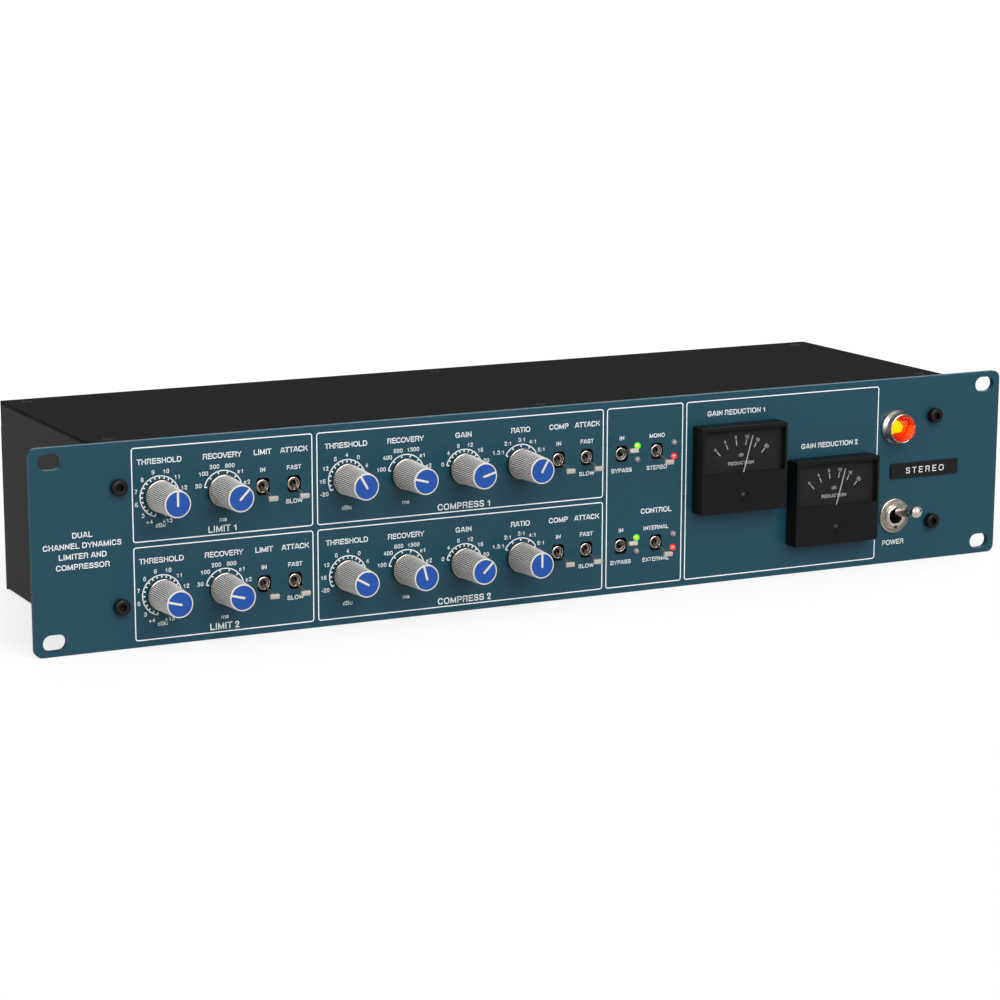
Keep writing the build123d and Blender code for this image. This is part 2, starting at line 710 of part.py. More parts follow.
# ======================================================================
# Status lamps and the control board
# ======================================================================
def led(x, z):
    """Round status lamp with a domed end, a rim and two leads down to the board."""
    with BuildPart() as lamp:
        with BuildSketch(Plane(origin=(x, 0, z))):
            with BuildLine():
                dome = RadiusArc((0, FACE_Y - LED_R), (LED_R, FACE_Y), LED_R)
                Polyline(
                    dome @ 1,
                    (LED_R, LED_RIM_Y),
                    (LED_RIM_R, LED_RIM_Y),
                    (LED_RIM_R, LED_BASE_Y),
                    (0, LED_BASE_Y),
                    dome @ 0,
                )
            make_face()
        revolve(axis=Axis((x, 0, z), (0, 1, 0)))
        with BuildSketch(rear_facing(x, LED_BASE_Y, z)):
            with GridLocations(1.6, 1.6, 2, 1):
                Circle(LED_LEAD_R)
        extrude(amount=BOARD_FRONT_Y - LED_BASE_Y)
    return lamp.part


gather([led(x, z) for x, z in led_points], "status_leds")

with BuildPart() as control_board:
    with BuildSketch(Plane.XZ.offset(-BOARD_FRONT_Y)):
        with Locations((sum(CONTROL_BOARD_X) / 2, sum(CONTROL_BOARD_Z) / 2)):
            Rectangle(CONTROL_BOARD_X[1] - CONTROL_BOARD_X[0], CONTROL_BOARD_Z[1] - CONTROL_BOARD_Z[0])
        with Locations(*stud_points):
            Circle(SMALL_SCREW_R + CLEARANCE, mode=Mode.SUBTRACT)
    extrude(amount=-BOARD_THICK)
save(control_board.part, "control_board")


# ======================================================================
# Gain reduction meters
# ======================================================================
front_wall_back = METER_PROUD - METER_FRONT_WALL
window_size = (METER_WIDTH - 2 * WINDOW_RIM_SIDE, WINDOW_HEIGHT)
window_rise = METER_HEIGHT / 2 - WINDOW_RIM_TOP - WINDOW_HEIGHT / 2


def meter_case(x, z):
    """Moulded front shell, open at the back, with a window above a plain cover."""
    with BuildPart() as case:
        with BuildSketch(face_plane(x, z)):
            Rectangle(METER_WIDTH, METER_HEIGHT)
        extrude(amount=METER_PROUD)
        fillet(case.edges().filter_by(Axis.Y), METER_EDGE_R)
        fillet(case.faces().sort_by(Axis.Y)[0].edges(), METER_EDGE_R / 2)
        with BuildSketch(face_plane(x, z)):
            Rectangle(METER_WIDTH - 2 * METER_WALL, METER_HEIGHT - 2 * METER_WALL)
        extrude(amount=front_wall_back, mode=Mode.SUBTRACT)
        with BuildSketch(face_plane(x, z + window_rise)):
            Rectangle(*window_size)
        extrude(amount=METER_PROUD, mode=Mode.SUBTRACT)
        with BuildSketch(face_plane(x, z - ZERO_SCREW_DROP)):
            Circle(ZERO_SCREW_R + CLEARANCE)
        extrude(amount=METER_PROUD, mode=Mode.SUBTRACT)
    return case.part


def meter_pane(x, z):
    """Clear pane seated behind the case's front wall."""
    height = WINDOW_HEIGHT + PANE_OVERLAP
    middle_z = z + METER_HEIGHT / 2 - METER_WALL - PANE_GAP - height / 2
    with BuildPart() as pane:
        with BuildSketch(face_plane(x, middle_z, front_wall_back)):
            Rectangle(METER_WIDTH - 2 * METER_WALL - 2 * PANE_GAP, height)
        extrude(amount=-PANE_THICK)
    return pane.part


def meter_dial(x, z):
    """Scale plate on the movement, with a hole for the needle's staff."""
    with BuildPart() as dial:
        with BuildSketch(face_plane(x, z, DIAL_FRONT)):
            with Locations((0, 5.0)):
                Rectangle(METER_WIDTH - 2 * METER_WALL - 1.0, METER_HEIGHT - 2 * METER_WALL - 11.0)
            with Locations((0, -PIVOT_DROP)):
                Circle(3.0, mode=Mode.SUBTRACT)
        extrude(amount=-DIAL_THICK)
    return dial.part


def meter_movement(x, z):
    """Magnet barrel behind the dial, bored off-centre for the moving coil."""
    front = face_plane(x, z, DIAL_FRONT - DIAL_THICK)
    depth = MOVEMENT_REAR_Y - front.origin.Y
    with BuildPart() as barrel:
        with BuildSketch(front):
            Circle(MOVEMENT_R)
        extrude(amount=-depth)
        with BuildSketch(front):
            with Locations((0, -PIVOT_DROP)):
                Circle(COIL_BORE_R)
        extrude(amount=-COIL_BORE_DEPTH, mode=Mode.SUBTRACT)
        with BuildSketch(front):
            with Locations((0, -PIVOT_DROP)):
                Circle(STAFF_R + PIVOT_FIT)
        extrude(amount=-STAFF_BORE_DEPTH, mode=Mode.SUBTRACT)
        # terminal studs
        with BuildSketch(rear_facing(x, MOVEMENT_REAR_Y, z)):
            with GridLocations(16.0, 16.0, 2, 1):
                Circle(1.8)
        extrude(amount=6.0)
    return barrel.part


def meter_needle(x, z):
    """Pointer with its hub, tail weight, staff and moving coil, all turning about one line."""
    pivot_z = z - PIVOT_DROP
    angle = radians(NEEDLE_ANGLE)
    back = Plane(
        origin=(x, FACE_Y - NEEDLE_BACK, pivot_z), x_dir=(cos(angle), 0, -sin(angle)), z_dir=(0, -1, 0)
    )
    with BuildPart() as needle:
        with BuildSketch(back):
            with BuildLine():
                Polyline(
                    (-0.45, -5.0),
                    (0.45, -5.0),
                    (0.3, 0.0),
                    (0.2, NEEDLE_LENGTH),
                    (-0.2, NEEDLE_LENGTH),
                    (-0.3, 0.0),
                    close=True,
                )
            make_face()
            Circle(NEEDLE_HUB_R)
        extrude(amount=NEEDLE_THICK)
        with BuildSketch(back):
            Circle(STAFF_R)
        extrude(amount=-STAFF_LENGTH)
        with BuildSketch(back.offset(-COIL_GAP)):
            Circle(COIL_R)
        extrude(amount=-COIL_LENGTH)
    return needle.part


def zero_screw(x, z):
    """Slotted zero-adjusting screw, sunk a little in the lower cover."""
    length = METER_FRONT_WALL - ZERO_SCREW_SUNK
    head = face_plane(x, z - ZERO_SCREW_DROP, METER_PROUD - ZERO_SCREW_SUNK)
    slot = Plane(head.origin, x_dir=(cos(0.6), 0, sin(0.6)), z_dir=head.z_dir)
    with BuildPart() as screw:
        with BuildSketch(head):
            Circle(ZERO_SCREW_R)
        extrude(amount=-length)
        with BuildSketch(head.offset(-length)):
            Circle(ZERO_COLLAR[0])
        extrude(amount=-ZERO_COLLAR[1])
        with BuildSketch(head.offset(-length - ZERO_COLLAR[1])):
            Circle(ZERO_STUD[0])
        extrude(amount=-ZERO_STUD[1])
        with BuildSketch(slot):
            Rectangle(2 * ZERO_SCREW_R + 1.0, CROSS_WIDTH)
        extrude(amount=-CROSS_WIDTH, mode=Mode.SUBTRACT)
    return screw.part


gather([meter_case(*c) for c in METER_CENTRES], "meter_cases")
gather([meter_pane(*c) for c in METER_CENTRES], "meter_windows")
gather([meter_dial(*c) for c in METER_CENTRES], "meter_dials")
gather([meter_movement(*c) for c in METER_CENTRES], "meter_movements")
for number, centre in enumerate(METER_CENTRES):
    save(meter_needle(*centre), f"needle_{number + 1}")
    save(zero_screw(*centre), f"zero_screw_{number + 1}")


# ======================================================================
# Pilot lamp
# ======================================================================
lamp_x, lamp_z = LAMP
bezel_outline = [
    (6.3, FACE_Y),
    (8.1, FACE_Y),
    (8.1, FACE_Y - 1.4),
    (7.6, FACE_Y - 2.2),
    (7.1, FACE_Y - 2.6),
    (6.9, FACE_Y - 5.3),
    (6.5, FACE_Y - 5.3),
    (6.5, FACE_Y - 1.0),
    (6.3, FACE_Y - 1.0),
]
thread_outline = [(5.0, FACE_Y), (5.9, FACE_Y), (5.9, 14.0), (5.0, 14.0)]
with BuildPart() as bezel:
    add(turned(bezel_outline, *LAMP))
    add(turned([(5.0, FACE_Y), (6.4, FACE_Y), (6.4, FACE_Y - 0.6), (5.0, FACE_Y - 0.6)], *LAMP))
    add(turned(thread_outline, *LAMP))
with BuildPart() as lamp_nut:
    with BuildSketch(rear_facing(lamp_x, 0, lamp_z)):
        RegularPolygon(9.0, 6)
        Circle(POWER_BUSH_R + 0.05, mode=Mode.SUBTRACT)
    extrude(amount=3.0)
gather([bezel.part, lamp_nut.part], "lamp_bezel")

with BuildPart() as lamp_jewel:
    with BuildSketch(Plane(origin=(lamp_x, 0, lamp_z))):
        with BuildLine():
            crown = ThreePointArc(
                (0, FACE_Y - 9.2), (4.6, FACE_Y - 8.2), (6.45, FACE_Y - 5.6)
            )
            Polyline(
                crown @ 1,
                (6.45, FACE_Y - 1.0),
                (5.4, FACE_Y - 1.0),
                (5.4, FACE_Y - 5.0),
                (0, FACE_Y - 6.6),
                crown @ 0,
            )
        make_face()
    revolve(axis=Axis((lamp_x, 0, lamp_z), (0, 1, 0)))
save(lamp_jewel.part, "lamp_jewel")

bulb_outline = [
    (0, FACE_Y - 4.4),
    (1.6, FACE_Y - 3.9),
    (2.5, FACE_Y - 2.4),
    (2.5, FACE_Y + 1.0),
    (4.9, FACE_Y + 1.0),
    (4.9, 13.0),
    (3.0, 13.0),
    (3.0, 16.0),
    (0, 16.0),
]
save(turned(bulb_outline, *LAMP), "lamp_bulb")


# ======================================================================
# Power switch
# ======================================================================
power_x, power_z = POWER
bush_front_y = FACE_Y - POWER_BUSH_PROUD
switch_front_y = 1.0
bush_outline = [
    (POWER_BORE_R, bush_front_y + 0.4),
    (POWER_BORE_R + 0.4, bush_front_y),
    (POWER_BUSH_R - 0.6, bush_front_y),
    (POWER_BUSH_R, bush_front_y + 0.6),
    (POWER_BUSH_R, switch_front_y),
    (POWER_BORE_R, switch_front_y),
]
with BuildPart() as power_switch_body:
    add(turned(bush_outline, *POWER))
    with BuildSketch(rear_facing(power_x, switch_front_y, power_z)):
        RectangleRounded(*SWITCH_BODY[:2], 1.0)
    extrude(amount=SWITCH_BODY[2])
    with BuildSketch(rear_facing(power_x, switch_front_y, power_z)):
        Circle(POWER_BORE_R)
    extrude(amount=SWITCH_CAVITY, mode=Mode.SUBTRACT)
    with BuildSketch(cross_plane(power_x, POWER_PIVOT_Y, power_z)):
        Circle(BAT_PIN_R)
    extrude(amount=POWER_BORE_R + 0.2, both=True)
    with BuildSketch(rear_facing(power_x, switch_front_y + SWITCH_BODY[2], power_z)):
        with GridLocations(8.0, 7.0, 2, 3):
            Rectangle(0.8, 4.0)
    extrude(amount=7.0)
save(power_switch_body.part, "power_switch_body")

with BuildPart() as power_switch_ring:
    with BuildSketch(face_plane(*POWER)):
        Circle(RING_R)
        Circle(POWER_BUSH_R + 0.05, mode=Mode.SUBTRACT)
    extrude(amount=RING_HEIGHT)
    front_circles = power_switch_ring.edges().filter_by(GeomType.CIRCLE).group_by(Axis.Y)[0]
    chamfer(front_circles.sort_by(SortBy.RADIUS)[-1], 0.45)
    with BuildSketch(face_plane(*POWER, RING_HEIGHT)):
        with PolarLocations(RING_R - 1.2, RING_NOTCHES):
            Rectangle(1.4, 0.5)
    extrude(amount=-0.3, mode=Mode.SUBTRACT)
save(power_switch_ring.part, "power_switch_ring")

bat_tilt = radians(POWER_TILT)
bat = Plane(
    origin=(power_x, POWER_PIVOT_Y, power_z), x_dir=(1, 0, 0), z_dir=(0, -cos(bat_tilt), sin(bat_tilt))
)
with BuildPart() as power_lever:
    with BuildSketch(bat):
        Circle(BAT_NECK_R)
    with BuildSketch(bat.offset(BAT_LENGTH)):
        Circle(BAT_TIP_R)
    loft()
    with Locations(bat.offset(BAT_LENGTH), bat):
        Sphere(BAT_TIP_R)
    with BuildSketch(bat):
        Circle(BAT_NECK_R)
    extrude(amount=-BAT_TAIL)
    with BuildSketch(cross_plane(power_x, POWER_PIVOT_Y, power_z)):
        Circle(BAT_PIN_R + PIVOT_FIT)
    extrude(amount=BAT_TIP_R + 1.0, both=True, mode=Mode.SUBTRACT)
save(power_lever.part, "power_lever")


# ======================================================================
# Rear connectors
# ======================================================================


def pin_spots(side):
    """The three pins' places about a connector's centre, mirrored between its two halves."""
    return [
        (side * XLR_PIN_CIRCLE_R * cos(radians(turn)), XLR_PIN_CIRCLE_R * sin(radians(turn)))
        for turn in XLR_PIN_TURNS
    ]


def xlr_shell(x):
    """Flange and barrel of a three-pin audio connector, before its face is cut."""
    with BuildPart() as shell:
        with BuildSketch(back_plane(x, 0, XLR_FLANGE_THICK)):
            RectangleRounded(*XLR_FLANGE, 3.0)
            with Locations(*[(side * XLR_SCREWS[0] / 2, side * XLR_SCREWS[1] / 2) for side in (-1, 1)]):
                Circle(SMALL_SCREW_R + CLEARANCE, mode=Mode.SUBTRACT)
        extrude(amount=XLR_FLANGE_THICK)
        with BuildSketch(back_plane(x, 0)):
            Circle(XLR_BARREL_R)
        extrude(amount=XLR_BARREL_DEPTH)
    return shell.part


def xlr_input(x):
    """Socket half: a round insert with three holes inside a ring-shaped gap."""
    with BuildPart() as socket:
        add(xlr_shell(x))
        with BuildSketch(back_plane(x, 0, XLR_FLANGE_THICK)):
            Circle(XLR_CUP_R)
            Circle(XLR_CUP_R - XLR_RING_GAP, mode=Mode.SUBTRACT)
        extrude(amount=XLR_RING_DEPTH, mode=Mode.SUBTRACT)
        with BuildSketch(back_plane(x, 0, XLR_FLANGE_THICK)):
            with Locations(*pin_spots(-1)):
                Circle(XLR_SOCKET_R)
        extrude(amount=XLR_SOCKET_DEPTH, mode=Mode.SUBTRACT)
    return socket.part


def xlr_output(x):
    """Plug half: an open cup with three pins."""
    with BuildPart() as plug:
        add(xlr_shell(x))
        with BuildSketch(back_plane(x, 0, XLR_FLANGE_THICK)):
            Circle(XLR_CUP_R)
        extrude(amount=XLR_CUP_DEPTH, mode=Mode.SUBTRACT)
        with BuildSketch(back_plane(x, 0, XLR_FLANGE_THICK - XLR_CUP_DEPTH)):
            with Locations(*pin_spots(1)):
                Circle(XLR_PIN_R)
        extrude(amount=-XLR_PIN_LENGTH)
    return plug.part


def jack(x):
    """Quarter-inch jack: square body inside, nose and bore through the panel, and its nut."""
    with BuildPart() as socket:
        with BuildSketch(back_plane(x, 0, JACK_PROUD)):
            Circle(JACK_BUSH_R)
        extrude(amount=JACK_PROUD + REAR_SHEET)
        with BuildSketch(back_plane(x, 0, -REAR_SHEET)):
            RectangleRounded(*JACK_BODY[:2], 1.0)
        extrude(amount=JACK_BODY[2])
        with BuildSketch(back_plane(x, 0, JACK_PROUD)):
            Circle(JACK_BORE_R)
        extrude(amount=JACK_DEPTH, mode=Mode.SUBTRACT)
    with BuildPart() as nut:
        with BuildSketch(back_plane(x, 0, JACK_NUT_THICK)):
            RegularPolygon(JACK_NUT_R, 6)
            Circle(JACK_BUSH_R + SHAFT_FIT, mode=Mode.SUBTRACT)
        extrude(amount=JACK_NUT_THICK)
    return socket.part, nut.part


gather([xlr_input(x) for x in XLR_IN_X], "xlr_inputs")
gather([xlr_output(x) for x in XLR_OUT_X], "xlr_outputs")
gather([piece for x in JACK_X for piece in jack(x)], "sidechain_jacks")

with BuildPart() as mains_inlet:
    with BuildSketch(back_plane(INLET_X, 0, INLET_FLANGE_THICK)):
        RectangleRounded(*INLET_FLANGE, 5.0)
        with Locations(*[(side * INLET_SCREW_SPACING / 2, 0) for side in (-1, 1)]):
            Circle(SMALL_SCREW_R + CLEARANCE, mode=Mode.SUBTRACT)
    extrude(amount=INLET_FLANGE_THICK)
    with BuildSketch(back_plane(INLET_X, 0)):
        RectangleRounded(*INLET_BODY, 1.0)
    extrude(amount=INLET_DEPTH)
    with BuildSketch(back_plane(INLET_X, INLET_CAVITY_Z, INLET_FLANGE_THICK)):
        RectangleRounded(*INLET_CAVITY, 1.5)
    extrude(amount=INLET_CAVITY_DEPTH, mode=Mode.SUBTRACT)
    with BuildSketch(back_plane(INLET_X, 0, INLET_FLANGE_THICK - INLET_CAVITY_DEPTH)):
        with Locations(*INLET_BLADES):
            Rectangle(*INLET_BLADE[:2])
    extrude(amount=-INLET_BLADE[2])
    with BuildSketch(back_plane(INLET_X, DRAWER_Z, INLET_FLANGE_THICK)):
        Rectangle(DRAWER[0] + 2 * DRAWER_FIT, DRAWER[1] + 2 * DRAWER_FIT)
    extrude(amount=DRAWER[2] + 1.0, mode=Mode.SUBTRACT)
save(mains_inlet.part, "mains_inlet")

with BuildPart() as drawer:
    with BuildSketch(back_plane(INLET_X, DRAWER_Z, INLET_FLANGE_THICK + DRAWER_GAP + DRAWER_FACE[2])):
        RectangleRounded(DRAWER_FACE[0], DRAWER_FACE[1], 1.0)
    extrude(amount=DRAWER_FACE[2])
    with BuildSketch(back_plane(INLET_X, DRAWER_Z, INLET_FLANGE_THICK + DRAWER_GAP)):
        Rectangle(DRAWER[0], DRAWER[1])
    extrude(amount=DRAWER[2])
    # pocket for the fuse, open at the top
    pocket_y = BACK_Y + INLET_FLANGE_THICK - FUSE_POCKET_DEPTH
    with BuildSketch(Plane.XY.offset(DRAWER_Z)):
        with Locations((INLET_X, pocket_y)):
            Rectangle(FUSE_LENGTH + 2 * FUSE_FIT, 2 * FUSE_R + 2 * FUSE_FIT)
    extrude(amount=DRAWER[1], mode=Mode.SUBTRACT)
    with BuildSketch(cross_plane(INLET_X, pocket_y, DRAWER_Z)):
        Circle(FUSE_R + FUSE_FIT)
    extrude(amount=FUSE_LENGTH / 2 + FUSE_FIT, both=True, mode=Mode.SUBTRACT)
    # thumb nick under the drawer's face
    with BuildSketch(back_plane(INLET_X, DRAWER_Z - DRAWER_FACE[1] / 2, INLET_FLANGE_THICK + DRAWER_GAP)):
        Rectangle(*DRAWER_NICK[:2])
    extrude(amount=-DRAWER_NICK[2], mode=Mode.SUBTRACT)
with BuildPart() as fuse:
    with BuildSketch(cross_plane(INLET_X, pocket_y, DRAWER_Z)):
        Circle(FUSE_R)
    extrude(amount=FUSE_LENGTH / 2, both=True)
gather([drawer.part, fuse.part], "fuse_drawer")


# ======================================================================
# Boards, transformers and fasteners inside
# ======================================================================
with BuildPart() as main_board:
    with BuildSketch(Plane.XY.offset(MAIN_BOARD_Z)):
        with Locations(MAIN_BOARD_CENTRE):
            Rectangle(*MAIN_BOARD)
        with Locations(*standoff_points):
            Circle(SMALL_SCREW_R + CLEARANCE, mode=Mode.SUBTRACT)
    extrude(amount=BOARD_THICK)
save(main_board.part, "main_board")

parts_z = MAIN_BOARD_Z + BOARD_THICK
with BuildPart() as audio_transformers:
    with BuildSketch(Plane.XY.offset(parts_z)):
        for x in XLR_IN_X + XLR_OUT_X:
            with Locations((x + TRANSFORMER_SHIFT, TRANSFORMER_Y)):
                RectangleRounded(*TRANSFORMER[:2], 2.0)
    extrude(amount=TRANSFORMER[2])
    fillet(audio_transformers.faces().group_by(Axis.Z)[-1].edges(), 1.0)
save(audio_transformers.part, "audio_transformers")

with BuildPart() as board_components:
    # electrolytic capacitors
    with BuildSketch(Plane.XY.offset(parts_z)):
        with Locations((62.0, 60.0)):
            with GridLocations(22.0, 24.0, 2, 3):
                Circle(8.0)
    extrude(amount=26.0)
    with BuildSketch(Plane.XY.offset(parts_z)):
        with Locations((-60.0, 42.0)):
            with GridLocations(24.0, 14.0, 9, 2):
                Circle(3.2)
    extrude(amount=11.0)
    # dual in-line circuits
    with BuildSketch(Plane.XY.offset(parts_z)):
        with Locations((-48.0, 60.0)):
            with GridLocations(24.0, 30.0, 9, 1):
                Rectangle(9.4, 6.4)
        with Locations((5.0, 80.0)):
            with GridLocations(18.0, 14.0, 3, 3):
                Rectangle(9.4, 6.4)
    extrude(amount=4.5)
    # finned heat sink of the voltage regulators
    with BuildSketch(Plane.XY.offset(parts_z)):
        with Locations((40.0, 40.0)):
            Rectangle(3.0, 28.0)
        for fin in range(6):
            with Locations((36.0, 28.0 + 4.8 * fin)):
                Rectangle(8.0, 1.4)
    extrude(amount=24.0)
save(board_components.part, "board_components")

toroid_bottom_z = INNER_FLOOR_Z + TOROID_PAD[1]
clamp_z = toroid_bottom_z + TOROID_SECTION[1]
nut_z = clamp_z + TOROID_CLAMP[1]
with BuildPart() as toroid:
    with BuildSketch(front_facing(*TOROID_CENTRE, toroid_bottom_z)):
        with Locations((TOROID_MID_R, TOROID_SECTION[1] / 2)):
            RectangleRounded(*TOROID_SECTION, 6.0)
    revolve(axis=Axis((*TOROID_CENTRE, 0), (0, 0, 1)))
with BuildPart() as toroid_clamp:
    with BuildSketch(Plane.XY.offset(clamp_z)):
        with Locations(TOROID_CENTRE):
            Circle(TOROID_CLAMP[0])
            Circle(TOROID_BOLT_R + CLEARANCE, mode=Mode.SUBTRACT)
    extrude(amount=TOROID_CLAMP[1])
with BuildPart() as toroid_pad:
    with BuildSketch(Plane.XY.offset(INNER_FLOOR_Z)):
        with Locations(TOROID_CENTRE):
            Circle(TOROID_PAD[0])
            Circle(TOROID_BOLT_R + CLEARANCE, mode=Mode.SUBTRACT)
    extrude(amount=TOROID_PAD[1])
with BuildPart() as toroid_bolt:
    with BuildSketch(Plane.XY.offset(INNER_FLOOR_Z)):
        with Locations(TOROID_CENTRE):
            Circle(TOROID_BOLT_R)
    extrude(amount=nut_z - INNER_FLOOR_Z)
    with BuildSketch(Plane.XY.offset(nut_z)):
        with Locations(TOROID_CENTRE):
            RegularPolygon(TOROID_NUT[0], 6)
    extrude(amount=TOROID_NUT[1])
gather([toroid.part, toroid_clamp.part, toroid_pad.part, toroid_bolt.part], "power_transformer")

rear_screws = [pan_screw(back_outward(x, z, XLR_FLANGE_THICK), 8.0) for x, z in xlr_screw_points]
rear_screws += [pan_screw(back_outward(x, z, INLET_FLANGE_THICK), 9.0) for x, z in inlet_screw_points]
board_screws = [
    pan_screw(Plane(origin=(x, y, parts_z), z_dir=(0, 0, 1)), 6.0) for x, y in standoff_points
]
stud_screws = [
    pan_screw(rear_facing(x, BOARD_FRONT_Y + BOARD_THICK, z), 7.0)
    for x, z in stud_points
]
gather(rear_screws + board_screws + stud_screws, "pan_screws")
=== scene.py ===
"""Looks of the two-channel rack compressor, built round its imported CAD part.

Lengths are written in millimetres and turned into metres by MM. The frame is the part's
own: +X to the operator's right, +Y to the rear, +Z up, the panel's front face at y = -3.
"""

from math import atan2, cos, hypot, pi, radians, sin

import bmesh
import bpy
from mathutils import Matrix, Vector


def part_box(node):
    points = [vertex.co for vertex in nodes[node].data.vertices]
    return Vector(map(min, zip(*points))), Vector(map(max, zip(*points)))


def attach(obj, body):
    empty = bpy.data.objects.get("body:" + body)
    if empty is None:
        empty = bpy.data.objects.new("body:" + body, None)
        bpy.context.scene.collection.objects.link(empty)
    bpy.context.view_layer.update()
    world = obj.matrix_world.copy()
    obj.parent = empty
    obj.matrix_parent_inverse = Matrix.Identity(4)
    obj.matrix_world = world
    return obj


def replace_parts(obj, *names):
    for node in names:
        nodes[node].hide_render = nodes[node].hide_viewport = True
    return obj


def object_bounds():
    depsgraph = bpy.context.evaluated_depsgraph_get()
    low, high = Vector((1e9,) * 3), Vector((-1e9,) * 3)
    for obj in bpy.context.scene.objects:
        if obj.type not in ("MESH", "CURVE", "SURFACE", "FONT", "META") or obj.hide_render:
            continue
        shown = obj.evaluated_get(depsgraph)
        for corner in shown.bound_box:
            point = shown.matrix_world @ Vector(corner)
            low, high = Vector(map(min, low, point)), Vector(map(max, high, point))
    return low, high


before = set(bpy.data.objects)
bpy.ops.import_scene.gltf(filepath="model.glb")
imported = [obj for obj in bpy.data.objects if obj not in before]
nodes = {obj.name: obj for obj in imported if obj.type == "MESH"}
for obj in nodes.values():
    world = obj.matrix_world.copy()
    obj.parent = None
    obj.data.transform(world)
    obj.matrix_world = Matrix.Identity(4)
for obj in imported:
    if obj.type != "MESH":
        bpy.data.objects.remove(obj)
cad_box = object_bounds()

MM = 0.001
scene = bpy.context.scene

# ---- places taken from the part, in millimetres ----
PANEL_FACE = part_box("front_panel")[0].y / MM
REAR_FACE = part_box("rear_panel")[1].y / MM
BADGE_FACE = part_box("badge_plate")[0].y / MM
DIAL_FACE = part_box("meter_dials")[0].y / MM
CASE_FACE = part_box("meter_cases")[0].y / MM
ROW_Z = (20.1, -22.1)
# Knob: its x, then how far it is turned at rest in each channel, in degrees.
KNOBS = {
    "limit_threshold": (-185.0, (0.0, -75.0)),
    "limit_recovery": (-157.0, (45.0, -75.0)),
    "comp_threshold": (-100.0, (-30.0, -60.0)),
    "comp_recovery": (-72.0, (-75.0, -15.0)),
    "comp_gain": (-44.0, (75.0, 45.0)),
    "comp_ratio": (-16.0, (30.0, 0.0)),
}
TOGGLE_X = {"limit_in": -138.7, "limit_attack": -124.4, "comp_in": 3.1, "comp_attack": 17.3}
BYPASS_X = 35.1
LINK_X = 53.3
METERS = ((94.6, 9.85), (145.5, -9.75))
LAMP = (182.7, 21.2)
POWER = (182.7, -21.2)
BADGE = (199.0, 0.0)
LED_X = (43.1, 62.2)
LED_STEP = 3.15
PANEL_SCREWS = [(side * 203.5, height * 25.4) for side in (-1, 1) for height in (-1, 1)]
XLR_X = (-180.0, -145.0, -100.0, -65.0)
JACK_X = (-25.0, 5.0)
INLET_X = 160.0


# ---- Materials ----
NOISE_LOW = 0.3
NOISE_HIGH = 0.7


def set_ramp(node, low, high):
    """Sets the two stops of a colour ramp, each a position and a colour."""
    for stop, (position, colour) in zip(node.color_ramp.elements, (low, high)):
        stop.position = position
        stop.color = [*colour, 1]


def surface(name, base, rough, metal=0.0, mottle=0.1, patch=0.8, rough_spread=0.05, grain=0.004,
            grain_size=0.4, specular=0.5, **sockets):
    """Principled material with mottled colour, uneven gloss and a fine grain.

    Patch, grain and grain size are in millimetres.
    """
    mat = bpy.data.materials.new(name)
    mat.use_nodes = True
    tree = mat.node_tree
    shader = tree.nodes["Principled BSDF"]
    place = tree.nodes.new("ShaderNodeTexCoord")

    def noise(size, detail):
        node = tree.nodes.new("ShaderNodeTexNoise")
        node.inputs["Scale"].default_value = 1 / (size * MM)
        node.inputs["Detail"].default_value = detail
        tree.links.new(place.outputs["Object"], node.inputs["Vector"])
        return node.outputs["Fac"]

    tone = tree.nodes.new("ShaderNodeValToRGB")
    set_ramp(tone, (NOISE_LOW, [c * (1 - mottle) for c in base]),
             (NOISE_HIGH, [min(1, c * (1 + mottle)) for c in base]))
    tree.links.new(noise(patch, 5), tone.inputs["Fac"])
    tree.links.new(tone.outputs["Color"], shader.inputs["Base Color"])

    gloss = tree.nodes.new("ShaderNodeMapRange")
    gloss.inputs["From Min"].default_value = NOISE_LOW
    gloss.inputs["From Max"].default_value = NOISE_HIGH
    gloss.inputs["To Min"].default_value = rough - rough_spread
    gloss.inputs["To Max"].default_value = rough + rough_spread
    tree.links.new(noise(patch * 0.45, 6), gloss.inputs["Value"])
    tree.links.new(gloss.outputs["Result"], shader.inputs["Roughness"])

    bump = tree.nodes.new("ShaderNodeBump")
    bump.inputs["Strength"].default_value = 1.0
    bump.inputs["Distance"].default_value = grain * MM
    tree.links.new(noise(grain_size, 3), bump.inputs["Height"])
    tree.links.new(bump.outputs["Normal"], shader.inputs["Normal"])

    shader.inputs["Metallic"].default_value = metal
    shader.inputs["Specular IOR Level"].default_value = specular
    for socket, value in sockets.items():
        shader.inputs[socket.replace("_", " ")].default_value = value
    return mat


def blend(mat, shaders, share):
    """Shows two shaders mixed; the share of the second is a number or a socket."""
    tree = mat.node_tree
    mix = tree.nodes.new("ShaderNodeMixShader")
    if isinstance(share, float):
        mix.inputs["Fac"].default_value = share
    else:
        tree.links.new(share, mix.inputs["Fac"])
    for slot, shader in enumerate(shaders):
        tree.links.new(shader.outputs["BSDF"], mix.inputs[slot + 1])
    tree.links.new(mix.outputs["Shader"], tree.nodes["Material Output"].inputs["Surface"])
    return mat


def see_through(mat, colour):
    """Adds a shader that lets light of a colour straight through."""
    node = mat.node_tree.nodes.new("ShaderNodeBsdfTransparent")
    node.inputs["Color"].default_value = (*colour, 1)
    return node


def clear_glass(name, tint, rough, ior, smear, **sockets):
    """Glass with faint smears that lets lamplight reach what is behind it."""
    mat = surface(name, tint, rough, mottle=0.01, patch=6.0, rough_spread=rough * 0.6, grain=smear,
                  grain_size=5.0, Transmission_Weight=1.0, IOR=ior, **sockets)
    glass = mat.node_tree.nodes["Principled BSDF"]
    rays = mat.node_tree.nodes.new("ShaderNodeLightPath")
    return blend(mat, (glass, see_through(mat, tint)), rays.outputs["Is Shadow Ray"])


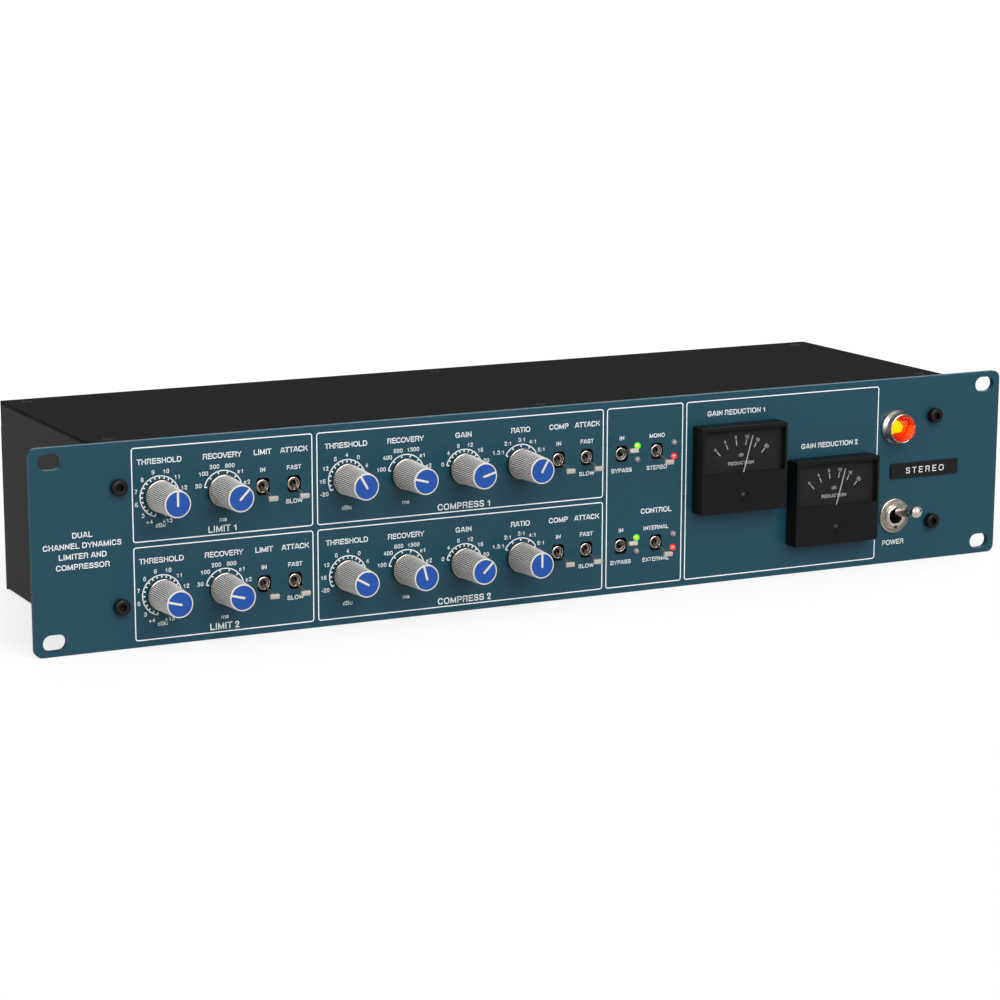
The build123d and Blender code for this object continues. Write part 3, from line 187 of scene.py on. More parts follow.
def thin_pane(name, sheen):
    """Flat window: nearly all of it lets light straight through, a small share shines."""
    mat = surface(name, (0.02, 0.02, 0.02), 0.45, patch=8.0, rough_spread=0.08, grain=0.001,
                  grain_size=6.0, specular=0.3)
    shine = mat.node_tree.nodes["Principled BSDF"]
    return blend(mat, (see_through(mat, (0.97, 0.97, 0.97)), shine), sheen)


# Fixed side of the LED lenses where their glow turns paler: a painted highlight.
LED_HIGHLIGHT_SIDE = (-0.62, -0.76, 0.18)


def led_glow(name, edge, highlight_tone):
    """Lit lens whose glow changes from the edge tone to a paler tone on one fixed side, a painted
    highlight.
    """
    mat = surface(name, [c * 0.25 for c in edge], 0.22, mottle=0.08, patch=0.9, grain=0.002,
                  Emission_Strength=0.8)
    tree = mat.node_tree
    place = tree.nodes.new("ShaderNodeTexCoord")
    towards = tree.nodes.new("ShaderNodeVectorMath")
    towards.operation = "DOT_PRODUCT"
    towards.inputs[1].default_value = LED_HIGHLIGHT_SIDE
    ramp = tree.nodes.new("ShaderNodeValToRGB")
    set_ramp(ramp, (0.72, edge), (0.96, highlight_tone))
    tree.links.new(place.outputs["Normal"], towards.inputs[0])
    tree.links.new(towards.outputs["Value"], ramp.inputs["Fac"])
    tree.links.new(ramp.outputs["Color"], tree.nodes["Principled BSDF"].inputs["Emission Color"])
    return mat


TEAL = surface("panel_paint", (0.0038, 0.0233, 0.0336), 0.26, mottle=0.012, patch=5.0, rough_spread=0.015,
               grain=0.0006, grain_size=1.5, specular=0.16)
BLACK_PAINT = surface("chassis_paint", (0.0078, 0.0078, 0.0080), 0.55, patch=1.2, grain=0.010,
                      grain_size=0.5, specular=0.05)
# Black of the top cover, its tone tuned apart from the chassis paint to how bright the top reads under the
# lamps: painted shade on the top.
COVER_TOP_SHADE = surface("cover_paint_painted_shade", (0.0091, 0.0091, 0.0095), 0.55, patch=1.2, grain=0.010, grain_size=0.5,
                      specular=0.0)
COVER_SCREW = surface("cover_screw_black", (0.0030, 0.0030, 0.0031), 0.55, mottle=0.2, grain=0.008,
                      specular=0.01)
# The panel's paint, a little lighter and less shiny, for its side faces and the walls of its slots and
# holes: a painted edge highlight.
TEAL_EDGE_HIGHLIGHT = surface("panel_edge_painted_highlight", (0.0045, 0.0275, 0.0395), 0.45, mottle=0.03, patch=3.0, grain=0.002,
                    grain_size=1.0, specular=0.05)
INK = surface("print_white", (0.36, 0.365, 0.36), 0.50, mottle=0.03, grain=0.001, grain_size=0.3,
              specular=0.2)
# Near-black for the insides of the screws' hex sockets: painted shade in the recesses.
SOCKET_SHADE = surface("socket_painted_shade", (0.0006, 0.0006, 0.0006), 0.5, mottle=0.2, specular=0.05)
SCREW_BLACK = surface("black_screw", (0.0016, 0.0016, 0.0017), 0.36, mottle=0.3, rough_spread=0.08,
                      grain=0.008, specular=0.14)
PLASTIC_BLACK = surface("meter_black", (0.0023, 0.0023, 0.0023), 0.34, patch=1.5, rough_spread=0.03,
                        grain=0.002, grain_size=0.35, specular=0.08)
DIAL_SLATE = surface("dial_black", (0.0046, 0.0044, 0.0052), 0.60, mottle=0.04, patch=1.0, grain=0.001,
                     grain_size=0.2, specular=0.05)
BADGE_BLACK = surface("badge_black", (0.0040, 0.0039, 0.0042), 0.36, mottle=0.12, patch=1.2, grain=0.003,
                      grain_size=0.3, specular=0.08)
CHROME = surface("polished_chrome", (0.44, 0.41, 0.375), 0.15, metal=1.0, mottle=0.08, patch=1.5,
                 grain=0.003, grain_size=0.6)
BEZEL = surface("bezel_metal", (0.40, 0.37, 0.34), 0.30, metal=1.0, patch=1.5, grain_size=0.5)
WASHER = surface("washer_metal", (0.29, 0.26, 0.225), 0.30, metal=1.0, mottle=0.2, rough_spread=0.08,
                 grain=0.02, grain_size=0.35)
# Metal of the knob skirts; their dark warm tone is a painted reflection of brown surroundings over the
# metal's own colour.
SKIRT_TINTED_REFLECTION = surface("knob_skirt_metal_painted_reflection", (0.27, 0.225, 0.19), 0.20, metal=1.0, mottle=0.15, patch=1.5,
                grain_size=0.5)
BRIGHT = surface("bushing_metal", (0.36, 0.34, 0.30), 0.24, metal=1.0, mottle=0.08, rough_spread=0.06,
                 grain=0.006)
LEVER = surface("lever_metal", (0.34, 0.31, 0.285), 0.34, metal=1.0, rough_spread=0.06, grain_size=0.3)
SEAT = surface("seat_bronze", (0.13, 0.10, 0.082), 0.38, metal=0.5, mottle=0.25, patch=0.5,
               rough_spread=0.08, grain=0.01, grain_size=0.3)
PADDLE = surface("paddle_grey", (0.19, 0.173, 0.158), 0.48, mottle=0.04, grain=0.003, grain_size=0.25,
                 specular=0.3)
KNOB_GREY = surface("knob_grey", (0.315, 0.313, 0.305), 0.48, mottle=0.04, patch=1.0, grain=0.003,
                    grain_size=0.25, specular=0.3)
# Darker grey for the bottoms of the knob grooves: painted shade in the grooves.
KNOB_GROOVE_SHADE = surface("knob_groove_painted_shade", (0.062, 0.062, 0.060), 0.60, mottle=0.08, patch=0.6, grain=0.003,
                      grain_size=0.25, specular=0.1)
CREAM = surface("knob_cream", (0.275, 0.256, 0.225), 0.42, mottle=0.03, patch=0.6, grain=0.002,
                grain_size=0.25, specular=0.3)
BLUE = surface("knob_cap_blue", (0.0020, 0.0265, 0.131), 0.36, mottle=0.05, grain=0.002, grain_size=0.25,
               specular=0.2)
NEEDLE = surface("needle_white", (0.27, 0.262, 0.25), 0.45, mottle=0.05, patch=0.6, grain=0.002,
                 grain_size=0.2)
SWITCH_BLACK = surface("switch_housing", (0.003, 0.003, 0.003), 0.55, mottle=0.2, patch=1.0, grain=0.006,
                       grain_size=0.3, specular=0.2)
CONNECTOR = surface("connector_black", (0.008, 0.008, 0.0085), 0.40, mottle=0.15, patch=1.4, grain=0.008,
                    grain_size=0.35, specular=0.3)
STEEL = surface("transformer_can", (0.32, 0.31, 0.30), 0.34, metal=1.0, patch=3.0, rough_spread=0.1,
                grain=0.006, grain_size=0.6)
GOLD = surface("contact_metal", (0.55, 0.40, 0.18), 0.24, metal=1.0, mottle=0.08, grain_size=0.3)
BOARD = surface("circuit_board", (0.01, 0.055, 0.025), 0.40, mottle=0.12, patch=3.0, grain=0.006,
                grain_size=0.6)
COMPONENT = surface("component_black", (0.012, 0.013, 0.024), 0.45, mottle=0.2, patch=2.0, grain=0.006,
                    grain_size=0.5)
UNLIT = surface("led_unlit", (0.085, 0.080, 0.080), 0.18, mottle=0.15, grain=0.002)
GREEN_LIT = led_glow("led_green_lit", (0.10, 0.80, 0.01), (0.95, 0.90, 0.02))
RED_LIT = led_glow("led_red_lit", (0.90, 0.008, 0.004), (1.0, 0.30, 0.25))
BULB = surface("bulb_glow", (0.5, 0.45, 0.10), 0.30, Emission_Color=(1.0, 0.86, 0.10, 1),
               Emission_Strength=9.0)
PANE = thin_pane("meter_pane", 0.05)
JEWEL = clear_glass("jewel_amber", (0.95, 0.10, 0.001), 0.03, 1.45, 0.004, Emission_Strength=0.07,
                    Specular_Tint=(1.0, 0.22, 0.04, 1), Emission_Color=(1.0, 0.07, 0.0, 1))
REFLECTOR = surface("lamp_reflector", (0.05, 0.03, 0.015), 0.40, Emission_Color=(1.0, 0.45, 0.06, 1),
                    Emission_Strength=0.02)


# ---- Mesh tools ----
def piece(name, bm, body, mats, place=None, sharp=35):
    """Makes a piece from a mesh built in millimetres and lets it ride on a body."""
    bmesh.ops.recalc_face_normals(bm, faces=bm.faces)
    bmesh.ops.scale(bm, vec=(MM, MM, MM), verts=bm.verts)
    mesh = bpy.data.meshes.new(name)
    bm.to_mesh(mesh)
    bm.free()
    for mat in mats:
        mesh.materials.append(mat)
    mesh.shade_smooth()
    mesh.set_sharp_from_angle(angle=radians(sharp))
    return instance(name, mesh, body, place)


def instance(name, mesh, body, place=None):
    """Puts a mesh into the scene at a place and lets it ride on a body."""
    obj = bpy.data.objects.new(name, mesh)
    scene.collection.objects.link(obj)
    if place is not None:
        obj.matrix_world = place
    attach(obj, body)
    return obj


def copies(bm, part, mats, spots):
    """Puts one mesh on several bodies, each at its place; spots are (body, place)."""
    made = []
    for body, place in spots:
        name = f"{body}_{part}"
        if made:
            made.append(instance(name, made[0].data, body, place))
        else:
            made.append(piece(name, bm, body, mats, place))
    return made


def mark(bm, test):
    """Gives the second material to the faces whose middle passes a test on (x, y, z)."""
    for face in bm.faces:
        if test(*face.calc_center_median()):
            face.material_index = 1


def at(x, y, z, about_x=0.0, about_y=0.0):
    """Place at a point in millimetres, turned about X or about Y by degrees."""
    turn = Matrix.Rotation(radians(about_x), 4, "X") @ Matrix.Rotation(radians(about_y), 4, "Y")
    return Matrix.Translation(Vector((x, y, z)) * MM) @ turn


def value(entry, angle):
    """A number, or what a function of the angle gives."""
    return entry(angle) if callable(entry) else entry


def front(distance):
    """The y of a point that stands a distance before the panel's face."""
    return PANEL_FACE - distance


def ahead(*rings, base=0.0):
    """Rings given as (radius, distance before the panel's face, less the base)."""
    return [(radius, front(base + distance)) for radius, distance in rings]


def turned(bm, rings, steps=64, centre=(0.0, 0.0), mat=0):
    """Turned body about a front-to-back line.

    Rings are (radius, y); either may be a function of the angle.
    """
    loops = []
    for radius, y in rings:
        if radius == 0:
            loops.append([bm.verts.new((centre[0], value(y, 0), centre[1]))])
            continue
        loop = []
        for i in range(steps):
            angle = 2 * pi * i / steps
            r = value(radius, angle)
            spot = (centre[0] + r * sin(angle), value(y, angle), centre[1] + r * cos(angle))
            loop.append(bm.verts.new(spot))
        loops.append(loop)
    for one, two in zip(loops, loops[1:]):
        for i in range(steps):
            j = (i + 1) % steps
            corners = [one[i % len(one)], one[j % len(one)], two[j % len(two)], two[i % len(two)]]
            face = bm.faces.new(list(dict.fromkeys(corners)))
            face.material_index = mat


def band(bm, outer, inner, front, back, closed=False):
    """Thin strip between two lines of (x, z) points, from the front y to the back y."""
    edges = [(outer, front), (inner, front), (inner, back), (outer, back)]
    rows = [[bm.verts.new((x, y, z)) for x, z in line] for line, y in edges]
    count = len(outer)
    for i in range(count if closed else count - 1):
        j = (i + 1) % count
        for a, b in ((0, 1), (1, 2), (2, 3), (3, 0)):
            bm.faces.new((rows[a][i], rows[a][j], rows[b][j], rows[b][i]))
    if not closed:
        for i in (0, -1):
            bm.faces.new([row[i] for row in rows])


CORNER_STEPS = 6


def rounded_box_line(x0, x1, z0, z1, radius):
    """Outline of a rectangle with round corners."""
    points = []
    corners = ((x1 - radius, z1 - radius), (x0 + radius, z1 - radius),
               (x0 + radius, z0 + radius), (x1 - radius, z0 + radius))
    for quarter, (cx, cz) in enumerate(corners):
        for i in range(CORNER_STEPS + 1):
            a = radians(90 * quarter + 90 * i / CORNER_STEPS)
            points.append((cx + radius * cos(a), cz + radius * sin(a)))
    return points


def polar(centre, radius, degrees):
    """Point at a clock angle from the top, seen from the front."""
    a = radians(degrees)
    return centre[0] + radius * sin(a), centre[1] + radius * cos(a)


def block(bm, size, centre, bevel, segments=2):
    """Box with rounded edges."""
    verts = bmesh.ops.create_cube(bm, size=1.0)["verts"]
    bmesh.ops.scale(bm, vec=size, verts=verts)
    bmesh.ops.translate(bm, vec=centre, verts=verts)
    edges = list({e for v in verts for e in v.link_edges})
    bmesh.ops.bevel(bm, geom=edges, offset=bevel, segments=segments, profile=0.5, affect="EDGES")


# ---- Lettering and lines printed on the panel ----
PRINT_PROUD = 0.03
PRINT_SUNK = 0.05


def print_on(face, facing=-1):
    """Front and back y of print on a face; facing is -1 for the front and 1 for the rear."""
    return face + facing * PRINT_PROUD, face - facing * PRINT_SUNK


PANEL_PRINT = print_on(PANEL_FACE)
CAP_OF_EM = 0.718
STROKE_OF_EM = 0.110

# Grotesque letters drawn as strokes. Each entry is the letter's advance and the left and right
# end of its ink in thousandths of an em, then its strokes on a 0-100 grid between the lowest and
# highest centre line. "x:y" is a plain corner, "x~y" a rounded one, and "@" closes the stroke.
LETTERS = {
    "A": (722, 20, 702, "0:0 41:100|59:100 100:0|12:24 88:24"),
    "B": (722, 76, 669, "@0:52 0:100 55:100 95~100 95~52 55:52|0:52 0:0 55:0 100~0 100~52 55:52"),
    "C": (722, 44, 684, "92:77 90~100 0~100 0~0 90~0 94:24"),
    "D": (722, 76, 685, "@0:0 0:100 40:100 100~100 100~0 40:0"),
    "E": (667, 76, 621, "98:100 0:100 0:0 100:0|0:52 92:52"),
    "F": (611, 76, 587, "100:100 0:100 0:0|0:50 88:50"),
    "G": (778, 44, 713, "91:80 89~100 0~100 0~0 93~0 98:26 98:41 60:41"),
    "H": (722, 71, 651, "0:0 0:100|100:0 100:100|0:52 100:52"),
    "I": (278, 64, 214, "50:0 50:100"),
    "K": (722, 80, 714, "0:0 0:100|92:100 4:36|34:60 96:0"),
    "L": (611, 76, 583, "0:100 0:0 100:0"),
    "M": (833, 69, 765, "0:0 0:100|5:100 47:6|53:6 95:100|100:100 100:0"),
    "N": (722, 69, 654, "0:0 0:100|5:98 95:2|100:0 100:100"),
    "O": (778, 44, 734, "@0~0 0~100 100~100 100~0"),
    "P": (667, 76, 627, "0:0 0:100 55:100 100~100 100~44 55:44 0:44"),
    "R": (722, 76, 677, "0:0 0:100 55:100 98~100 98~50 55:50 0:50|50:50 92~50 94:0"),
    "S": (667, 39, 629, "93:79 91~100 4~100 4~57 97~47 97~0 2~0 1:22"),
    "T": (611, 14, 598, "0:100 100:100|50:100 50:0"),
    "U": (722, 72, 651, "0:100 0:45 0~0 100~0 100:45 100:100"),
    "V": (667, 19, 648, "0:100 45:0|55:0 100:100"),
    "W": (944, 6, 938, "0:100 23:0|27:0 48:100|52:100 73:0|77:0 100:100"),
    "X": (667, 14, 653, "3:0 97:100|3:100 97:0"),
    "Y": (667, 15, 653, "0:100 50:42|100:100 50:42|50:44 50:0"),
    "a": (556, 29, 527, "8:50 8~70 88~70 88:45 88:0|88:38 0~40 0~0 88~0 88:22"),
    "d": (611, 34, 551, "100:0 100:100|@0~0 0~70 100~70 100~0"),
    "m": (889, 64, 826, "0:0 0:70|0:45 0~70 50~70 50:45 50:0|50:45 50~70 100~70 100:45 100:0"),
    "s": (556, 30, 519, "94:50 92~70 5~70 5~40 96~32 96~0 0~0 0:20"),
    "u": (611, 66, 545, "0:70 0:30 0~0 100~0 100:30|100:70 100:0"),
    "0": (556, 32, 524, "@0~0 0~100 100~100 100~0"),
    "1": (556, 90, 378, "100:0 100:100|0:72 75~72 96:98"),
    "2": (556, 26, 511, "2:70 2~100 97~100 97~58 0:0|0:0 100:0"),
    "3": (556, 27, 516, "2:80 3~100 95~100 95~54 42:54|42:54 100~54 100~0 1~0 0:21"),
    "4": (556, 27, 526, "76:0 76:100|72:100 2:28|0:26 100:26"),
    "5": (556, 27, 516, "88:100 17:100|16:100 9:60|9:60 30~70 100~68 100~0 0~0 0:12"),
    "6": (556, 31, 520, "96:88 94~100 0~100 0:36|@0~0 0~54 100~54 100~0"),
    "7": (556, 25, 528, "0:100 100:100|100:100 45~50 30:0"),
    "8": (556, 32, 524, "@8~55 8~100 92~100 92~55|@0~0 0~55 100~55 100~0"),
    "9": (556, 30, 522, "4:12 6~0 100~0 100:64|@0~100 0~47 100~47 100~100"),
    "+": (584, 60, 524, "0:32 100:32|50:0 50:64"),
    "-": (333, 40, 293, "0:36 100:36"),
    ":": (278, 64, 214, "50:0 50:2|50:54 50:56"),
    ".": (278, 64, 214, "50:0 50:2"),
    " ": (278, 0, 0, ""),
}
CURVE_STEPS = 5
MITRE_LIMIT = 1.6
SAME_POINT = 0.01


def rounded_corner(before, corner, after):
    """Points of the curve that starts at one point, bends at the corner and ends at the other."""
    points = []
    for i in range(1, CURVE_STEPS + 1):
        t = i / CURVE_STEPS
        points.append(before * (1 - t) ** 2 + corner * 2 * t * (1 - t) + after * t * t)
    return points


def stroke_line(text):
    """Centre line of a stroke on the 0-100 grid, and whether it closes."""
    closed = text.startswith("@")
    corners = []
    for token in text.lstrip("@").split():
        across, up = token.replace("~", ":").split(":")
        corners.append((Vector((float(across), float(up))), "~" in token))
    count = len(corners)
    line = []
    for i, (corner, is_round) in enumerate(corners):
        if not is_round:
            line.append(corner)
            continue
        before, before_round = corners[i - 1]
        after, after_round = corners[(i + 1) % count]
        start = (before + corner) / 2 if before_round else before
        end = (corner + after) / 2 if after_round else after
        if not line:
            line.append(start)
        line += rounded_corner(start, corner, end)
    clean = []
    for point in line:
        if not clean or (point - clean[-1]).length > SAME_POINT:
            clean.append(point)
    if closed and (clean[0] - clean[-1]).length < SAME_POINT:
        clean.pop()
    return clean, closed


def stroke_edges(line, closed, half):
    """Left and right edge of a stroke of constant width, with square ends."""
    count = len(line)
    left, right = [], []
    for i, point in enumerate(line):
        into = (point - line[i - 1]).normalized() if closed or i else None
        out = (line[(i + 1) % count] - point).normalized() if closed or i < count - 1 else None
        if into is None:
            point = point - out * half
            into = out
        if out is None:
            point = point + into * half
            out = into
        across = Vector((-into.y - out.y, into.x + out.x))
        across = across.normalized() if across.length > SAME_POINT else Vector((-into.y, into.x))
        reach = half * min(MITRE_LIMIT, 1 / max(0.1, across.dot(Vector((-out.y, out.x)))))
        left.append(point + across * reach)
        right.append(point - across * reach)
    return left, right


STROKES = {
    letter: [stroke_line(text) for text in entry[3].split("|") if text]
    for letter, entry in LETTERS.items()
}


def lettering(bm, words, x, z, cap, turn=0.0, layer=PANEL_PRINT, weight=1.0, spacing=0.0):
    """Adds letters centred on (x, z); cap is the height of capitals, spacing an extra gap in ems."""
    em = cap / CAP_OF_EM
    stroke = STROKE_OF_EM * em * weight
    side = 1 if layer[0] < layer[1] else -1
    a = radians(turn)
    total = sum(LETTERS[c][0] / 1000 + spacing for c in words) - spacing
    pen = -total * em / 2
    for letter in words:
        advance, left_end, right_end, _ = LETTERS[letter]
        low_x = pen + left_end * em / 1000 + stroke / 2
        span_x = max(0.0, (right_end - left_end) * em / 1000 - stroke)
        span_z = cap - stroke
        for line, closed in STROKES[letter]:
            points = [Vector((low_x + p.x / 100 * span_x, stroke / 2 + p.y / 100 * span_z)) for p in line]
            edges = []
            for edge in stroke_edges(points, closed, stroke / 2):
                placed = []
                for p in edge:
                    u, w = p.x, min(max(p.y, 0.0), cap) - cap / 2
                    placed.append((x + side * (u * cos(a) + w * sin(a)), z + w * cos(a) - u * sin(a)))
                edges.append(placed)
            band(bm, edges[0], edges[1], *layer, closed)
        pen += (advance / 1000 + spacing) * em


FRAME_LINE = 0.45
FRAME_CORNER = 1.1


def line_box(bm, x0, x1, z0, z1):
    """Printed rectangle with round corners, given by the centre of its line."""
    h = FRAME_LINE / 2
    outer = rounded_box_line(x0 - h, x1 + h, z0 - h, z1 + h, FRAME_CORNER + h)
    inner = rounded_box_line(x0 + h, x1 - h, z0 + h, z1 - h, FRAME_CORNER - h)
    band(bm, outer, inner, *PANEL_PRINT, closed=True)


def tick(bm, centre, r0, r1, degrees, width, layer=PANEL_PRINT):
    """Printed radial mark."""
    ends = []
    for r in (r0, r1):
        px, pz = polar(centre, r, degrees)
        dx, dz = polar((0, 0), width / 2, degrees + 90)
        ends.append(((px + dx, pz + dz), (px - dx, pz - dz)))
    band(bm, [ends[0][0], ends[1][0]], [ends[0][1], ends[1][1]], *layer)


ARC_R = 8.68
ARC_LINE = 0.42
ARC_STEP = 3
TICK_LINE = 0.55
TICK_IN = 1.2
ARC_RIGHT = 0.25
LIMIT_ARC_RIGHT = -0.1
ARC_DROP = 0.25
NUMBER_R = 10.75
NUMBER_CAP = 1.8
NUMBER_STEP = 30
LONG_NUMBER = 0.3
LEFT_SHIFT = 0.45
RIGHT_SHIFT = 0.18
LOW_LEFT_SHIFT = 2.0
LOW_LEFT = -150


def dial_scale(bm, centre, sweep, numbers, ticks, shift):
    """Printed arc to both sides of the top, inward ticks and numbers outside it."""
    ring = (centre[0] + shift, centre[1] - ARC_DROP)
    steps = int(2 * sweep / ARC_STEP)
    angles = [-sweep + 2 * sweep * i / steps for i in range(steps + 1)]
    outer = [polar(ring, ARC_R + ARC_LINE / 2, a) for a in angles]
    inner = [polar(ring, ARC_R - ARC_LINE / 2, a) for a in angles]
    band(bm, outer, inner, *PANEL_PRINT)
    for degrees in range(-sweep, sweep + 1, ticks):
        tick(bm, ring, ARC_R, ARC_R - TICK_IN, degrees, TICK_LINE)
    for i, text in enumerate(numbers.split()):
        degrees = -sweep + NUMBER_STEP * i
        reach = NUMBER_R + LONG_NUMBER * (len(text) - 1) * abs(sin(radians(degrees)))
        x, z = polar(ring, reach, degrees)
        if degrees < LOW_LEFT:
            x -= LOW_LEFT_SHIFT
        elif degrees < 0:
            x -= LEFT_SHIFT * min(len(text) - 1, 2)
        else:
            x += RIGHT_SHIFT * (len(text) - 1)
        lettering(bm, text, x, z, NUMBER_CAP, weight=0.92, spacing=0.05)


# Knob: half its scale's sweep and the step of its ticks in degrees, its numbers, its title and
# the title's letter spacing, and its unit.
SCALES = {
    "limit_threshold": (165, 15, "+4 5 6 7 8 9 10 11 12 13 14 +15", "THRESHOLD", -0.015, "dBu"),
    "limit_recovery": (75, 30, "50 100 200 800 a1 a2", "RECOVERY", -0.03, "ms"),
    "comp_threshold": (120, 15, "-20 16 12 8 4 0 4 8 +12", "THRESHOLD", -0.015, "dBu"),
    "comp_recovery": (75, 30, "100 400 800 1500 a1 a2", "RECOVERY", -0.03, "ms"),
    "comp_gain": (75, 15, "0 4 8 12 16 20", "GAIN", 0.0, ""),
    "comp_ratio": (60, 30, "1.5:1 2:1 3:1 4:1 6:1", "RATIO", -0.03, ""),
}
TITLE_CAP = 2.35
SECTION_CAP = 2.85
SWITCH_CAP = 1.88
UNIT_CAP = 1.75
TITLE_Z = 14.9
SECTION_Z = -16.4
UNIT_Z = -12.5
SWITCH_Z = 7.2
FRAME_TOP = 41.0
ROW_FRAME_END = 1.2
SIDE_TEXT = (-219.5, 6.6)
SIDE_LINE_STEP = 4.4

lines = bmesh.new()
scales = bmesh.new()
labels = bmesh.new()
for z0, z1 in ((ROW_FRAME_END, FRAME_TOP), (-FRAME_TOP, -ROW_FRAME_END)):
    line_box(lines, -197.2, -116.0, z0, z1)
    line_box(lines, -113.7, 25.5, z0, z1)
for x0, x1 in ((27.6, 66.5), (68.6, 172.3)):
    line_box(lines, x0, x1, -FRAME_TOP, FRAME_TOP)

for channel, row in enumerate(ROW_Z):
    for knob, (sweep, ticks, numbers, title, gap, unit) in SCALES.items():
        x = KNOBS[knob][0]
        shift = LIMIT_ARC_RIGHT if knob == "limit_threshold" else ARC_RIGHT
        dial_scale(scales, (x, row), sweep, numbers, ticks, shift)
        lettering(labels, title, x, row + TITLE_Z, TITLE_CAP, spacing=gap)
        lettering(labels, unit, x, row + UNIT_Z, UNIT_CAP)
    lettering(labels, "LIMIT", TOGGLE_X["limit_in"], row + TITLE_Z, TITLE_CAP, spacing=-0.02)
    lettering(labels, "COMP", TOGGLE_X["comp_in"], row + TITLE_Z, TITLE_CAP)
    lettering(labels, f"LIMIT {channel + 1}", -157.2, row + SECTION_Z, SECTION_CAP)
    lettering(labels, f"COMPRESS {channel + 1}", -43.6, row + SECTION_Z, SECTION_CAP, spacing=0.01)
    for x in (TOGGLE_X["limit_attack"], TOGGLE_X["comp_attack"]):
        lettering(labels, "ATTACK", x + 0.2, row + TITLE_Z, TITLE_CAP, spacing=-0.035)
        lettering(labels, "FAST", x, row + SWITCH_Z, SWITCH_CAP)
        lettering(labels, "SLOW", x, row - SWITCH_Z - 0.2, SWITCH_CAP)
    for x in (TOGGLE_X["limit_in"], TOGGLE_X["comp_in"], BYPASS_X):
        lettering(labels, "IN", x, row + SWITCH_Z, SWITCH_CAP)
    lettering(labels, "BYPASS", BYPASS_X, row - SWITCH_Z - 0.3, SWITCH_CAP)
for words, x, z, cap in (
    ("MONO", LINK_X, 27.2, SWITCH_CAP), ("STEREO", LINK_X, 12.6, SWITCH_CAP),
    ("CONTROL", LINK_X, -7.1, TITLE_CAP), ("INTERNAL", LINK_X, -15.1, SWITCH_CAP),
    ("EXTERNAL", LINK_X, -29.7, SWITCH_CAP), ("GAIN REDUCTION 1", 95.0, 35.0, TITLE_CAP),
    ("GAIN REDUCTION 2", 145.8, 15.9, TITLE_CAP), ("POWER", 182.8, -34.1, TITLE_CAP),
):
    lettering(labels, words, x, z, cap)
for i, words in enumerate(("DUAL", "CHANNEL DYNAMICS", "LIMITER AND", "COMPRESSOR")):
    lettering(labels, words, SIDE_TEXT[0], SIDE_TEXT[1] - SIDE_LINE_STEP * i, TITLE_CAP)
piece("panel_lines", lines, "root", [INK])
piece("dial_scales", scales, "root", [INK])
piece("panel_labels", labels, "root", [INK])

badge_print = bmesh.new()
lettering(badge_print, "STEREO", *BADGE, 2.9, layer=print_on(BADGE_FACE), weight=0.8, spacing=0.26)
piece("badge_print", badge_print, "root", [INK])


# ---- Knobs ----
KNOB_GAP = 1.0
SKIRT_TOP = KNOB_GAP + 1.3
KNOB_FRONT = 21.3
GRIP_BASE_R = 6.65
GRIP_FRONT_R = 5.8
FLUTES = 46
FLUTE_STEPS = 8
GROOVE_SHARE = 0.20
FLUTE_DEPTH = 0.42
CAP_R = 5.22
SHAFT_R = 3.0
SHAFT_END = 4.0
POINTER_HALF = 0.475
POINTER_TAIL = 1.0
POINTER_ROUND = 0.35
ROUND_STEPS = 96


def fluted(radius, depth):
    """Radius of a ring with rounded ridges and narrow grooves."""
    return lambda angle: radius - depth * (0.5 - 0.5 * cos(FLUTES * angle))


def in_groove(x, y, z):
    """True on the bottom of the grooves between a grip's ridges, which get a darker colour as painted
    shade.
    """
    phase = (atan2(x, z) * FLUTES / (2 * pi)) % 1.0
    return abs(phase - 0.5) < GROOVE_SHARE and hypot(x, z) > CAP_R


